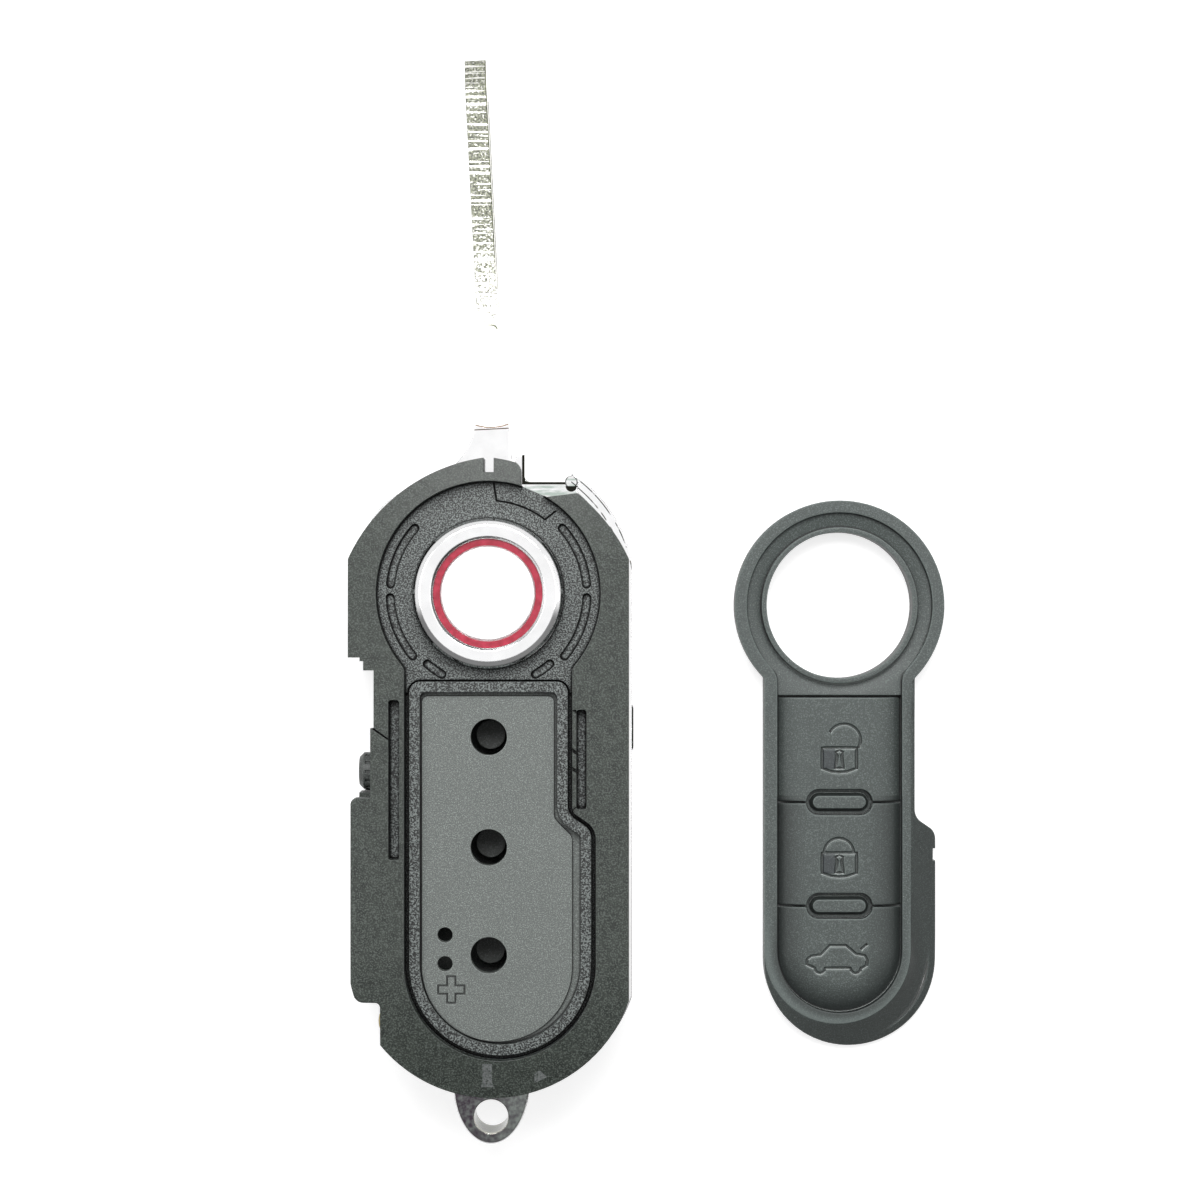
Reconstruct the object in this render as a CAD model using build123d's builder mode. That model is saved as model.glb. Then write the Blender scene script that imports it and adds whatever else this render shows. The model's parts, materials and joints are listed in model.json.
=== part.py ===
from build123d import *
import math
import os

# Flip key fob shell, blade open, rubber keypad lying beside it. Millimetres.
# +X is right and +Y is up as the fob is seen from the front, +Z points to the viewer.
# The origin is on the back face, under the axis of the release button.

BIG = 80.0

# Clearances, shared by every fit
GAP = 0.3
SLIDE_GAP = 0.2
RUN_GAP = 0.05
TINY_GAP = 0.02

# Outline shared by both covers
SIDE_X = 15.33
HEAD_R = 19.2
HEAD_X = 2.13
HEAD_Y = -4.24
TOP_Y = HEAD_Y + math.sqrt(HEAD_R**2 - HEAD_X**2)
FOOT_X = 0.42
FOOT_Y = -39.23
FOOT_OUT = 0.47
FOOT_R = SIDE_X + FOOT_OUT
FINGER_D = 2.85
FINGER_X = SIDE_X - FINGER_D
FINGER_TOP_Y = -8.38
FINGER_STEPS = ((1.15, 1.0), (1.55, 1.4))
BULGE_D = 0.3
BULGE_X = SIDE_X - BULGE_D
BULGE_TOP_Y = -22.3
BULGE_DROP = 5.37
BULGE_END_Y = FOOT_Y - BULGE_DROP
TIP_D = 3.53
TIP_X = SIDE_X - TIP_D
TAB_W = 0.37
TAB_L = 7.6
TAB_TOP_Y = BULGE_TOP_Y + TAB_L
CUTAWAY_X = 3.55
CUTAWAY_MID_X = 6.4
CUTAWAY_END_X = 9.85
CUTAWAY_D = 4.34
CUTAWAY_RISE = 1.25
CUTAWAY_END_RISE = 0.45
CUTAWAY_Y = TOP_Y - CUTAWAY_D
TOP_NOTCH = (-0.5, 0.6)
TOP_NOTCH_D = 1.64
TOP_NOTCH_Y = TOP_Y - TOP_NOTCH_D
EDGE_CUT = 0.2

# Levels from the back face up
SKIN = 1.3
FLOOR_T = 1.2
BACK_Z = 5.4
BAND_Z = 12.2
PLATE_Z = 14.6
RECESS_Z = 15.5
RIB_Z = 15.9
RIM_Z = 17.0
DOME_R = 84.0

# Recess for the keypad
RECESS_R = 12.25
NECK_X = 9.15
NECK_Y = -math.sqrt(RECESS_R**2 - NECK_X**2)
RECESS_FOOT_R = 10.43
RECESS_FOOT_X = RECESS_FOOT_R - NECK_X
RECESS_FOOT_Y = FOOT_Y - 1.22
STEP_TOP_Y = -23.8
STEP_RISE = 1.75
STEP_IN_FILLET = 1.2
STEP_OUT_FILLET = 2.2
NECK_FILLET = 0.9
RIB_TOP_Y = NECK_Y - 1.475
RIB_OFF = 0.5
RIB_W = 1.15
RIB_CORNER_R = 1.2
RIB_LINE_W = 0.2
MOAT_D = 0.6

# Pivot of the blade, and the blade's own axes: u across it, v along it
PIVOT_X = -6.3
PIVOT_Y = 4.1
OPEN_TILT = 2.94
BLADE_U = 7.45
BLADE_T = 2.35
BLADE_W = 7.6
BLADE_Z = 10.0
BLADE_TIP_V = 54.6
DRUM_R = 8.0
DRUM_Z = 10.6
POST_R = 4.2
POST_Z = 11.7
POST_BORE_R = 3.0
NECK_HALF_U = 1.73
MOUTH_V = 14.2
HOLDER_TOP_Z = PLATE_Z - GAP

# Release button
BUTTON_R = 8.15
BUTTON_TOP_Z = RIM_Z + 1.2
FLANGE_R = BUTTON_R + 0.85
FLANGE_Z = 13.4
FLANGE_T = 0.9
WEB_Z = 16.0
SEAT_Z = 17.2
BADGE_R = 5.95
BADGE_RING_W = 0.75
FOOT_PAD_R = 2.7
FOOT_PAD_Z = 12.9

# Battery tray and its lock
CELL_R = 10.05
CELL_WALL = 0.75
BAY_TOP_Y = BULGE_TOP_Y + RUN_GAP
BAY_END_Y = BAY_TOP_Y - 2 * (CELL_R + CELL_WALL)
TRAY_IN_X = 7.4
TRAY_Z = 1.4
TRAY_TOP_Z = BACK_Z - GAP
LOCK_R = 2.1
LOCK_Y = BULGE_TOP_Y + LOCK_R + 2 * RUN_GAP
LOCK_Z = 3.1
LOCK_SHAFT_R = 1.2

# Head of the carrier frame
CARRIER_OUT = 0.35
CARRIER_T = 1.5
CARRIER_HEAD_INSET = 3.0
CARRIER_HEAD_R = HEAD_R - CARRIER_HEAD_INSET

# Screws
SCREW_R = 0.7
SCREW_HEAD_R = 1.4
BOSS_R = 1.5
SCREW_SIDE_INSET = 4.0
SCREW_SIDE_Y = -16.0
SCREW_FOOT_INSET = 3.1
SCREW_FOOT_ANGLE = -35.0
SCREW_HEAD_ANGLE = 8.0

# Switch plate
PLATE_TOP_Z = 15.1
PLATE_TOP_Y = RIB_TOP_Y - 1.63
PLATE_INSET_L = 1.87
PLATE_INSET_R = 2.03
PLATE_FOOT_R = RECESS_FOOT_R - 2.23
PLATE_FOOT_X = 0.9
PLATE_FOOT_Y = FOOT_Y - 1.57
PLATE_STEP_RISE = 2.0
PLATE_FILLET = 0.65
HOLE_R = 2.0
HOLE_SPOTS = [(0.0, -15.7), (0.0, -27.77), (0.0, -39.57)]

# Keypad, lying apart
PAD_X = 39.4
PAD_Y = -1.3
PAD_FIT = 0.6
PAD_RING_R = RECESS_R - 0.35
PAD_H = 3.4
PAD_HOLE_R = BUTTON_R + 0.15

PIVOT_PLANE = Plane(
    origin=(PIVOT_X, PIVOT_Y, 0),
    x_dir=(math.cos(math.radians(OPEN_TILT)), math.sin(math.radians(OPEN_TILT)), 0),
    z_dir=(0, 0, 1),
)


def at(z):
    """The horizontal plane at height z."""
    return Plane.XY.offset(z)


def block(x0, x1, y0, y1, mode=Mode.ADD):
    """A rectangle between two corners."""
    with Locations(((x0 + x1) / 2, (y0 + y1) / 2)):
        Rectangle(x1 - x0, y1 - y0, mode=mode)


def disc(x, y, r, mode=Mode.ADD):
    """A circle at a point."""
    with Locations((x, y)):
        Circle(r, mode=mode)


def on_circle(x, y, r, angle):
    """The point at an angle on a circle."""
    turn = math.radians(angle)
    return (x + r * math.cos(turn), y + r * math.sin(turn))


def ring(x, y, r_out, r_in):
    """A flat ring at a point."""
    disc(x, y, r_out)
    disc(x, y, r_in, Mode.SUBTRACT)


def polygon(*points, mode=Mode.ADD):
    """A face with straight edges through the given points."""
    Polygon(*points, align=None, mode=mode)


def corner(sketch, x, y):
    """The vertex of a sketch nearest to a point."""
    return sketch.vertices().sort_by_distance((x, y, 0))[0]


def foot_edge_y(x):
    """Where the foot's arc crosses a line along Y."""
    return FOOT_Y - math.sqrt(FOOT_R**2 - (x - FOOT_X) ** 2)


def body_region(grow, head_x, head_y, head_r):
    """The plain body without its notches, grown by a distance."""
    with BuildSketch() as region:
        disc(head_x, head_y, head_r)
        block(-SIDE_X - grow, SIDE_X + grow, FOOT_Y, 0)
        disc(FOOT_X, FOOT_Y, FOOT_R + grow)
        block(-SIDE_X - grow, SIDE_X + grow, -BIG, BIG, Mode.INTERSECT)
    return region.sketch


def cover_sketch():
    """The outline of the covers, with finger notch, tip notch and head cutaway."""
    with BuildSketch() as outline:
        disc(HEAD_X, HEAD_Y, HEAD_R)
        disc(-HEAD_X, HEAD_Y, HEAD_R, Mode.INTERSECT)
        block(-SIDE_X, SIDE_X, FOOT_Y, 0)
        disc(FOOT_X, FOOT_Y, FOOT_R)
        block(-SIDE_X, SIDE_X, -BIG, BIG, Mode.INTERSECT)
        # finger notch with its stepped upper end
        block(-BIG, -FINGER_X, BULGE_TOP_Y, FINGER_TOP_Y, Mode.SUBTRACT)
        for step_x, step_y in FINGER_STEPS:
            block(-BIG, -FINGER_X - step_x, BULGE_TOP_Y, FINGER_TOP_Y + step_y, Mode.SUBTRACT)
        block(-FINGER_X - TAB_W, -FINGER_X, BULGE_TOP_Y - SKIN, TAB_TOP_Y)
        # bulge over the battery tray, and the notch for the blade's tip
        block(-BIG, -BULGE_X, BULGE_END_Y, BULGE_TOP_Y, Mode.SUBTRACT)
        block(-BIG, -TIP_X, -BIG, BULGE_END_Y, Mode.SUBTRACT)
        # cutaway over the shoulder of the carrier, and the notch in the top edge
        polygon(
            (CUTAWAY_X, BIG),
            (CUTAWAY_X, CUTAWAY_Y + CUTAWAY_RISE),
            (CUTAWAY_MID_X, CUTAWAY_Y),
            (CUTAWAY_END_X, CUTAWAY_Y + CUTAWAY_END_RISE),
            (CUTAWAY_END_X, BIG),
            mode=Mode.SUBTRACT,
        )
        block(*TOP_NOTCH, TOP_NOTCH_Y, BIG, Mode.SUBTRACT)
        for x, y, r in (
            (CUTAWAY_X, TOP_Y, 1.0),
            (-BULGE_X, BULGE_TOP_Y, 0.7),
            (-BULGE_X, BULGE_END_Y, 1.1),
            (-TIP_X, BULGE_END_Y, 0.5),
        ):
            fillet(corner(outline, x, y), r)
    return outline.sketch


def recess_sketch():
    """The outline of the recess that takes the keypad."""
    right_x = RECESS_FOOT_X + RECESS_FOOT_R
    step_end_y = STEP_TOP_Y - STEP_RISE
    with BuildSketch() as recess:
        Circle(RECESS_R)
        block(-NECK_X, NECK_X, RECESS_FOOT_Y, 0)
        disc(RECESS_FOOT_X, RECESS_FOOT_Y, RECESS_FOOT_R)
        polygon(
            (NECK_X, STEP_TOP_Y),
            (right_x, step_end_y),
            (right_x, RECESS_FOOT_Y),
            (0, RECESS_FOOT_Y),
            (0, STEP_TOP_Y),
        )
        fillet(corner(recess, NECK_X, STEP_TOP_Y), STEP_IN_FILLET)
        fillet(corner(recess, right_x, step_end_y), STEP_OUT_FILLET)
        for x in (-NECK_X, NECK_X):
            fillet(corner(recess, x, NECK_Y), NECK_FILLET)
    return recess.sketch


def rib_sketch(inset):
    """The outline of the rib frame, inset from the recess."""
    with BuildSketch() as rib:
        add(recess_sketch())
        block(-BIG, BIG, -BIG, RIB_TOP_Y + RIB_OFF, Mode.INTERSECT)
        offset(amount=-inset, kind=Kind.INTERSECTION)
        for x in (-NECK_X, NECK_X):
            fillet(corner(rib, x, RIB_TOP_Y), max(RIB_CORNER_R + RIB_OFF - inset, RIB_CORNER_R / 2))
    return rib.sketch


def plate_sketch():
    """The raised middle of the switch plate, narrower than its window at the lower right."""
    left_x = -NECK_X + PLATE_INSET_L
    mid_x = NECK_X - PLATE_INSET_R
    right_x = PLATE_FOOT_X + PLATE_FOOT_R
    step_y = STEP_TOP_Y - RIB_OFF - GAP
    step_end_y = step_y - PLATE_STEP_RISE
    with BuildSketch() as plate:
        block(left_x, mid_x, PLATE_FOOT_Y, PLATE_TOP_Y)
        disc(PLATE_FOOT_X, PLATE_FOOT_Y, PLATE_FOOT_R)
        polygon(
            (mid_x, step_y),
            (right_x, step_end_y),
            (right_x, PLATE_FOOT_Y),
            (0, PLATE_FOOT_Y),
            (0, step_y),
        )
        for x, y in ((mid_x, step_y), (right_x, step_end_y)):
            fillet(corner(plate, x, y), STEP_IN_FILLET)
        for x in (left_x, mid_x):
            fillet(corner(plate, x, PLATE_TOP_Y), PLATE_FILLET)
    return plate.sketch


# Places of the case screws: beside the board, at the foot and beside the button's flange
SCREW_SPOTS = [
    (SIDE_X - SCREW_SIDE_INSET, SCREW_SIDE_Y),
    on_circle(FOOT_X, FOOT_Y, FOOT_R - SCREW_FOOT_INSET, SCREW_FOOT_ANGLE),
    on_circle(0, 0, FLANGE_R + BOSS_R + GAP, SCREW_HEAD_ANGLE),
]

COVER = cover_sketch()
RECESS = recess_sketch()
RIB_OUTER = rib_sketch(RIB_OFF)
RIB_OUTLINE = rib_sketch(RIB_OFF - RIB_LINE_W)
WINDOW = rib_sketch(RIB_OFF + RIB_W)

# Front cover
SLOT_W = 1.0
SLOT_D = 0.55
ARC_SLOT_R = RECESS_R - 1.5
SHORT_SLOT_R = RECESS_R - 2.05
LONG_SLOT_TOP_Y = -11.6
LEFT_SLOT = (-NECK_X - 1.72, -NECK_X - 0.52, -29.0, LONG_SLOT_TOP_Y)
RIGHT_SLOT = (NECK_X + 0.45, NECK_X + 1.55, STEP_TOP_Y + GAP, LONG_SLOT_TOP_Y - 1.06)
ARC_SLOTS = ((ARC_SLOT_R, 138.5, 174.5), (ARC_SLOT_R, 182.5, 219.5), (SHORT_SLOT_R, 229.0, 240.0))
STRIP_D = 0.3
STRIP_NICKS_Y = (-17.2, -19.2)
STRIP_NICK = (1.1, 0.35)
STRIP_NICK_TILT = -35.0
LINE_W = 0.2
LINE_D = 0.2
LINE_R = RECESS_R - 2.09
LINE_START_ANGLE = 85.1
LINE_END_ANGLE = 52.6
SLANT_DROP = 1.25
GROOVE_X = TIP_X - 0.25
GROOVE_TOP_Y = -9.4
GROOVE_END_Y = foot_edge_y(-GROOVE_X) + 0.34
WALL_IN_X = GROOVE_X - SKIN
BOSS_SPLIT_Z = 8.0


def rim_z(off):
    """Height of the domed rim at a distance from the middle line."""
    return RIM_Z - math.sqrt(DOME_R**2 - NECK_X**2) + math.sqrt(DOME_R**2 - off**2)


def rim_dome():
    """A long round-ended bar that the rim's top follows, falling away all round."""
    mid_z = rim_z(0) - DOME_R
    top_y = RECESS_R - NECK_X
    with BuildPart() as dome:
        with Locations(Location((0, (top_y + FOOT_Y) / 2, mid_z), (90, 0, 0))):
            Cylinder(DOME_R, top_y - FOOT_Y)
        with Locations((0, top_y, mid_z), (0, FOOT_Y, mid_z)):
            Sphere(DOME_R)
    return dome.part


def arc_slots():
    """The blind slots round the button, with round ends, alike at left and right."""
    with BuildSketch() as slots:
        for r, start, end in ARC_SLOTS:
            path = CenterArc((0, 0), r, start, end - start, mode=Mode.PRIVATE)
            SlotArc(path.edge(), SLOT_W)
        mirror(about=Plane.YZ)
    return slots.sketch


def parting_line():
    """The fine L-shaped parting line at the top right of the ring floor."""
    end_x, end_y = on_circle(0, 0, LINE_R, LINE_END_ANGLE)
    start_x, start_y = on_circle(0, 0, LINE_R, LINE_START_ANGLE)
    with BuildLine() as line:
        Line((start_x - 0.3, RECESS_R - SLIDE_GAP), (start_x, start_y))
        CenterArc((0, 0), LINE_R, LINE_END_ANGLE, LINE_START_ANGLE - LINE_END_ANGLE)
        Line((end_x, end_y), (end_x + 1.2, end_y + 0.95))
    trace(line.edges(), line_width=LINE_W)


def strip_sketch():
    """The narrow land between the recess and the right long slot."""
    x1 = RIGHT_SLOT[0]
    y1 = RIGHT_SLOT[3]
    with BuildSketch() as strip:
        polygon((NECK_X, y1), (x1, y1), (x1, STEP_TOP_Y + RIB_OFF), (NECK_X, STEP_TOP_Y))
    return strip.sketch


def low_wall_sketch():
    """The wall of the front cover that stands on the carrier: right side, then round the foot."""
    with BuildSketch() as wall:
        add(body_region(0, -HEAD_X, HEAD_Y, HEAD_R))
        add(body_region(-SKIN, -HEAD_X, HEAD_Y, HEAD_R), mode=Mode.SUBTRACT)
        block(0, BIG, FOOT_Y, CUTAWAY_Y - 0.5, Mode.INTERSECT)
        with BuildSketch(mode=Mode.PRIVATE) as foot:
            ring(FOOT_X, FOOT_Y, FOOT_R, FOOT_R - SKIN)
            block(-WALL_IN_X, SIDE_X, -BIG, FOOT_Y, Mode.INTERSECT)
            block(SIDE_X - SKIN, SIDE_X, FOOT_Y - SKIN, FOOT_Y + SKIN)
        add(foot.sketch)
        add(COVER, mode=Mode.INTERSECT)
    return wall.sketch


with BuildPart() as front_cover:
    with BuildSketch(at(PLATE_Z)):
        add(COVER)
    extrude(amount=RIM_Z - PLATE_Z + 1)
    add(rim_dome(), mode=Mode.INTERSECT)
    with BuildSketch(at(RECESS_Z)):
        add(RECESS)
    extrude(amount=BIG, mode=Mode.SUBTRACT)
    # moat round the rib frame, then the frame itself
    with BuildSketch(at(RECESS_Z - MOAT_D)):
        add(RECESS)
        block(-BIG, BIG, -BIG, RIB_TOP_Y - RIB_CORNER_R, Mode.INTERSECT)
        add(RIB_OUTLINE)
        add(RIB_OUTER, mode=Mode.SUBTRACT)
    extrude(amount=MOAT_D, mode=Mode.SUBTRACT)
    with BuildSketch(at(RECESS_Z)):
        add(RIB_OUTER)
    extrude(amount=RIB_Z - RECESS_Z)
    with BuildSketch(at(RECESS_Z)):
        add(arc_slots())
    extrude(amount=-SLOT_D, mode=Mode.SUBTRACT)
    with BuildSketch(at(RECESS_Z)):
        parting_line()
    extrude(amount=-LINE_D, mode=Mode.SUBTRACT)
    with BuildSketch(at(RECESS_Z - SLOT_D)):
        for x0, x1, y0, y1 in (LEFT_SLOT, RIGHT_SLOT):
            with Locations(((x0 + x1) / 2, (y0 + y1) / 2)):
                RectangleRounded(x1 - x0, y1 - y0, GAP)
    extrude(amount=BIG, mode=Mode.SUBTRACT)
    # low strip beside the right slot with two slanting nicks, and the slanting line at the left
    with BuildSketch(at(RIM_Z - STRIP_D)):
        add(strip_sketch())
    extrude(amount=BIG, mode=Mode.SUBTRACT)
    with BuildSketch(at(RIM_Z - 2 * STRIP_D)):
        for y in STRIP_NICKS_Y:
            with Locations(Location((NECK_X + STRIP_NICK[0] / 5, y, 0), (0, 0, STRIP_NICK_TILT))):
                Rectangle(*STRIP_NICK)
    extrude(amount=BIG, mode=Mode.SUBTRACT)
    with BuildSketch(at(rim_z(FINGER_X) - LINE_D)):
        with BuildLine() as slant:
            Line((-FINGER_X - LINE_W / 2, TAB_TOP_Y), (LEFT_SLOT[0] + LINE_W / 2, TAB_TOP_Y - SLANT_DROP))
        trace(slant.edges(), line_width=LINE_W)
    extrude(amount=BIG, mode=Mode.SUBTRACT)
    # window for the switch plate and hole for the button
    with BuildSketch(at(PLATE_Z)):
        add(WINDOW)
        Circle(BUTTON_R + RUN_GAP)
    extrude(amount=BIG, mode=Mode.SUBTRACT)
    with BuildSketch(at(BAND_Z)):
        add(low_wall_sketch())
    extrude(amount=PLATE_Z - BAND_Z)
    # inner wall of the blade groove
    with BuildSketch(at(BACK_Z)):
        block(-GROOVE_X, -WALL_IN_X, GROOVE_END_Y, GROOVE_TOP_Y)
    extrude(amount=PLATE_Z - BACK_Z)
    # bosses for the case screws
    with BuildSketch(at(BOSS_SPLIT_Z)):
        with Locations(*SCREW_SPOTS):
            Circle(BOSS_R)
            Circle(SCREW_R, mode=Mode.SUBTRACT)
    extrude(amount=PLATE_Z - BOSS_SPLIT_Z)

# Back cover
DECK_R = DRUM_R + 0.5
PARTITION_T = 0.5
TOWER_R = SCREW_HEAD_R + 0.2
SPRING_WIRE = 0.8
SPRING_R = 6.05
SPRING_TANG_Z = 4.0
CLIP_Z = DRUM_Z + GAP
CLIP_T = 0.5
CLIP_GROOVE_R = POST_R - 0.4
CLIP_MOUTH = 2.4
COUNTERBORE_D = 1.1
CATCH_Y0 = -17.5
CATCH_Y1 = -12.3
CATCH_Z = 10.4
CATCH_OUT = 0.55
CATCH_FILLET = 0.5


def back_cavity():
    """The hollow of the back cover, seen from above."""
    with BuildSketch() as cavity:
        add(body_region(-SKIN, -HEAD_X, HEAD_Y, HEAD_R))
        disc(HEAD_X, HEAD_Y, HEAD_R - SKIN, Mode.INTERSECT)
        block(-SIDE_X + SKIN, SIDE_X - SKIN, FOOT_Y, 0)
        disc(FOOT_X, FOOT_Y, FOOT_R - SKIN)
        add(body_region(-SKIN, -HEAD_X, HEAD_Y, HEAD_R), mode=Mode.INTERSECT)
        block(-BIG, -FINGER_X + SKIN, -BIG, FINGER_TOP_Y + 2 * SKIN + SLIDE_GAP, Mode.SUBTRACT)
        block(-BIG, BIG, TOP_NOTCH_Y - SKIN - SLIDE_GAP, BIG, Mode.SUBTRACT)
        block(CUTAWAY_X - SKIN, CUTAWAY_END_X + SKIN, CUTAWAY_Y - SKIN - SLIDE_GAP, BIG, Mode.SUBTRACT)
        disc(PIVOT_X, PIVOT_Y, DECK_R, Mode.SUBTRACT)
        for y in (BAY_TOP_Y, BAY_END_Y - PARTITION_T):
            block(-BIG, BIG, y, y + PARTITION_T, Mode.SUBTRACT)
        with Locations(*SCREW_SPOTS):
            Circle(TOWER_R, mode=Mode.SUBTRACT)
    return cavity.sketch


with BuildPart() as back_cover:
    with BuildSketch(at(0)):
        add(COVER)
    extrude(amount=BACK_Z)
    chamfer(back_cover.faces().sort_by(Axis.Z)[0].outer_wire().edges(), EDGE_CUT)
    with BuildSketch(at(FLOOR_T)):
        add(back_cavity())
    extrude(amount=BIG, mode=Mode.SUBTRACT)
    # bay for the battery tray, open through the bulge
    with BuildSketch(at(FLOOR_T)):
        block(-BIG, TRAY_IN_X + 2 * GAP, BAY_END_Y, BAY_TOP_Y)
    extrude(amount=BIG, mode=Mode.SUBTRACT)
    # hollow post that carries the drum, with the groove for its clip
    with BuildSketch(at(BACK_Z)):
        disc(PIVOT_X, PIVOT_Y, POST_R)
    extrude(amount=POST_Z - BACK_Z)
    with BuildSketch(at(CLIP_Z)):
        ring(PIVOT_X, PIVOT_Y, POST_R, CLIP_GROOVE_R)
    extrude(amount=CLIP_T, mode=Mode.SUBTRACT)
    with BuildSketch(at(FLOOR_T)):
        disc(PIVOT_X, PIVOT_Y, POST_BORE_R)
    extrude(amount=BIG, mode=Mode.SUBTRACT)
    # hole for the foot of the flip spring
    with BuildSketch(PIVOT_PLANE.offset(BACK_Z)):
        disc(SPRING_R, 0, SPRING_WIRE / 2 + RUN_GAP)
    extrude(amount=-(BACK_Z - SPRING_TANG_Z), mode=Mode.SUBTRACT)
    # catch that shows through the carrier at the right
    with BuildSketch(at(BACK_Z)) as catch:
        block(SIDE_X - SKIN + SLIDE_GAP, SIDE_X + CATCH_OUT, CATCH_Y0, CATCH_Y1)
        fillet(catch.vertices().group_by(Axis.X)[-1], CATCH_FILLET)
    extrude(amount=CATCH_Z - BACK_Z)
    # screw towers with counterbored heads from behind
    with BuildSketch(at(FLOOR_T)):
        with Locations(*SCREW_SPOTS):
            Circle(TOWER_R)
    extrude(amount=BOSS_SPLIT_Z - RUN_GAP - FLOOR_T)
    with Locations(*[(x, y, 0) for x, y in SCREW_SPOTS]):
        with Locations(Rotation(180, 0, 0)):
            CounterBoreHole(SCREW_R + 2 * RUN_GAP, SCREW_HEAD_R + 2 * RUN_GAP, COUNTERBORE_D, BIG)
    # bore for the battery lock
    with Locations(Plane(origin=(-FINGER_X, LOCK_Y, LOCK_Z), z_dir=(-1, 0, 0))):
        Hole(LOCK_SHAFT_R + RUN_GAP, 2 * SKIN)

# Carrier frame
SHOULDER_DROP = 2.61
SHOULDER_Y = TOP_Y - SHOULDER_DROP
SHOULDER_IN_R = FLANGE_R + 0.8
SHOULDER_FILLET = 0.65
HORN_X = (2.9, 3.9)
HORN_Y = TOP_Y + 0.36
RIB_R = 0.7
RIB_X = math.sqrt((CARRIER_HEAD_R - CARRIER_T + RIB_R - SLIDE_GAP) ** 2 - SHOULDER_Y**2)
SEAM_ANGLE = 36.0
SEAM_W = 0.3
LUG_X = 0.1
LUG_HOLE_OUT = 2.97
LUG_HOLE_Y = FOOT_Y - FOOT_R - LUG_HOLE_OUT
LUG_HOLE_R = 1.9
LUG_HALF_W = 4.25
LUG_MID_OFF = 3.5
LUG_END_OFF = 3.1
LUG_MID_Y = LUG_HOLE_Y + LUG_MID_OFF
LUG_END_Y = LUG_HOLE_Y - LUG_END_OFF
LUG_Z = 5.8
LUG_T = 5.0
LUG_CUT = 0.2


def foot_band():
    """The carrier round the foot, stopping at the notch for the blade's tip."""
    with BuildSketch() as band:
        ring(FOOT_X, FOOT_Y, FOOT_R + CARRIER_OUT, FOOT_R + CARRIER_OUT - CARRIER_T)
        block(-TIP_X, SIDE_X + CARRIER_OUT, -BIG, FOOT_Y, Mode.INTERSECT)
        block(-TIP_X, -WALL_IN_X + GAP, GROOVE_END_Y - EDGE_CUT, FOOT_Y, Mode.SUBTRACT)
    return band.sketch


with BuildPart() as carrier_frame:
    # key-ring lug
    with BuildSketch(at(LUG_Z)):
        with Locations((LUG_X, LUG_MID_Y)):
            Ellipse(LUG_HALF_W, LUG_MID_Y - LUG_END_Y)
    extrude(amount=LUG_T)
    chamfer(carrier_frame.faces().filter_by(Axis.Z).edges(), LUG_CUT)
    with BuildSketch(at(LUG_Z)):
        disc(FOOT_X, FOOT_Y, FOOT_R - LUG_CUT)
        disc(LUG_X, LUG_HOLE_Y, LUG_HOLE_R)
    extrude(amount=LUG_T, mode=Mode.SUBTRACT)
    # band along the right side
    with BuildSketch(at(BACK_Z)):
        add(body_region(CARRIER_OUT, 0, 0, CARRIER_HEAD_R))
        add(body_region(CARRIER_OUT - CARRIER_T, 0, 0, CARRIER_HEAD_R - CARRIER_T), mode=Mode.SUBTRACT)
        block(RIB_X, BIG, FOOT_Y, BIG, Mode.INTERSECT)
    extrude(amount=BAND_Z - BACK_Z)
    with BuildSketch(at(BACK_Z)):
        add(foot_band())
    extrude(amount=BAND_Z - BACK_Z)
    # shoulder with its stop horn and half-round rib
    with BuildSketch(at(BACK_Z)) as shoulder:
        block(HORN_X[0], RIB_X + RIB_R, PIVOT_Y, SHOULDER_Y)
        block(*HORN_X, SHOULDER_Y - SKIN, HORN_Y)
        disc(RIB_X, SHOULDER_Y, RIB_R)
        disc(0, 0, SHOULDER_IN_R, Mode.SUBTRACT)
        fillet(corner(shoulder, HORN_X[1], SHOULDER_Y), SHOULDER_FILLET)
    extrude(amount=HOLDER_TOP_Z - BACK_Z)
    # radial seam in the head, and the window for the back cover's catch
    with BuildSketch(at(BACK_Z)):
        with Locations(Location((0, 0, 0), (0, 0, SEAM_ANGLE))):
            with Locations((CARRIER_HEAD_R, 0)):
                Rectangle(2 * SEAM_W, SEAM_W)
        block(0, BIG, CATCH_Y0 - SLIDE_GAP, CATCH_Y1 + SLIDE_GAP)
    extrude(amount=CATCH_Z + SLIDE_GAP - BACK_Z, mode=Mode.SUBTRACT)

# Blade holder
HOLDER_Z = BACK_Z + GAP
HOLDER_IN_U = BLADE_U - NECK_HALF_U
HOLDER_OUT_U = BLADE_U + NECK_HALF_U
FLARE_R = 8.0
FLARE_V = 4.0
MOUTH_ARC_R = 5.0
MOUTH_ARC_D = 0.4
SLOT_FIT = 0.03
SPRING_SPACE_IN_R = POST_R + 0.75
SPRING_SPACE_OUT_R = DRUM_R - 0.8
SPRING_SPACE_Z = DRUM_Z - 1.2
SHANK_V = 6.2
PIN_V = 10.4
PIN_R = 0.8
SWEEP_R = FLANGE_R + 0.4
BUTTON_IN_HOLDER = PIVOT_PLANE.to_local_coords(Vector(0, 0, 0))


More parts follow.
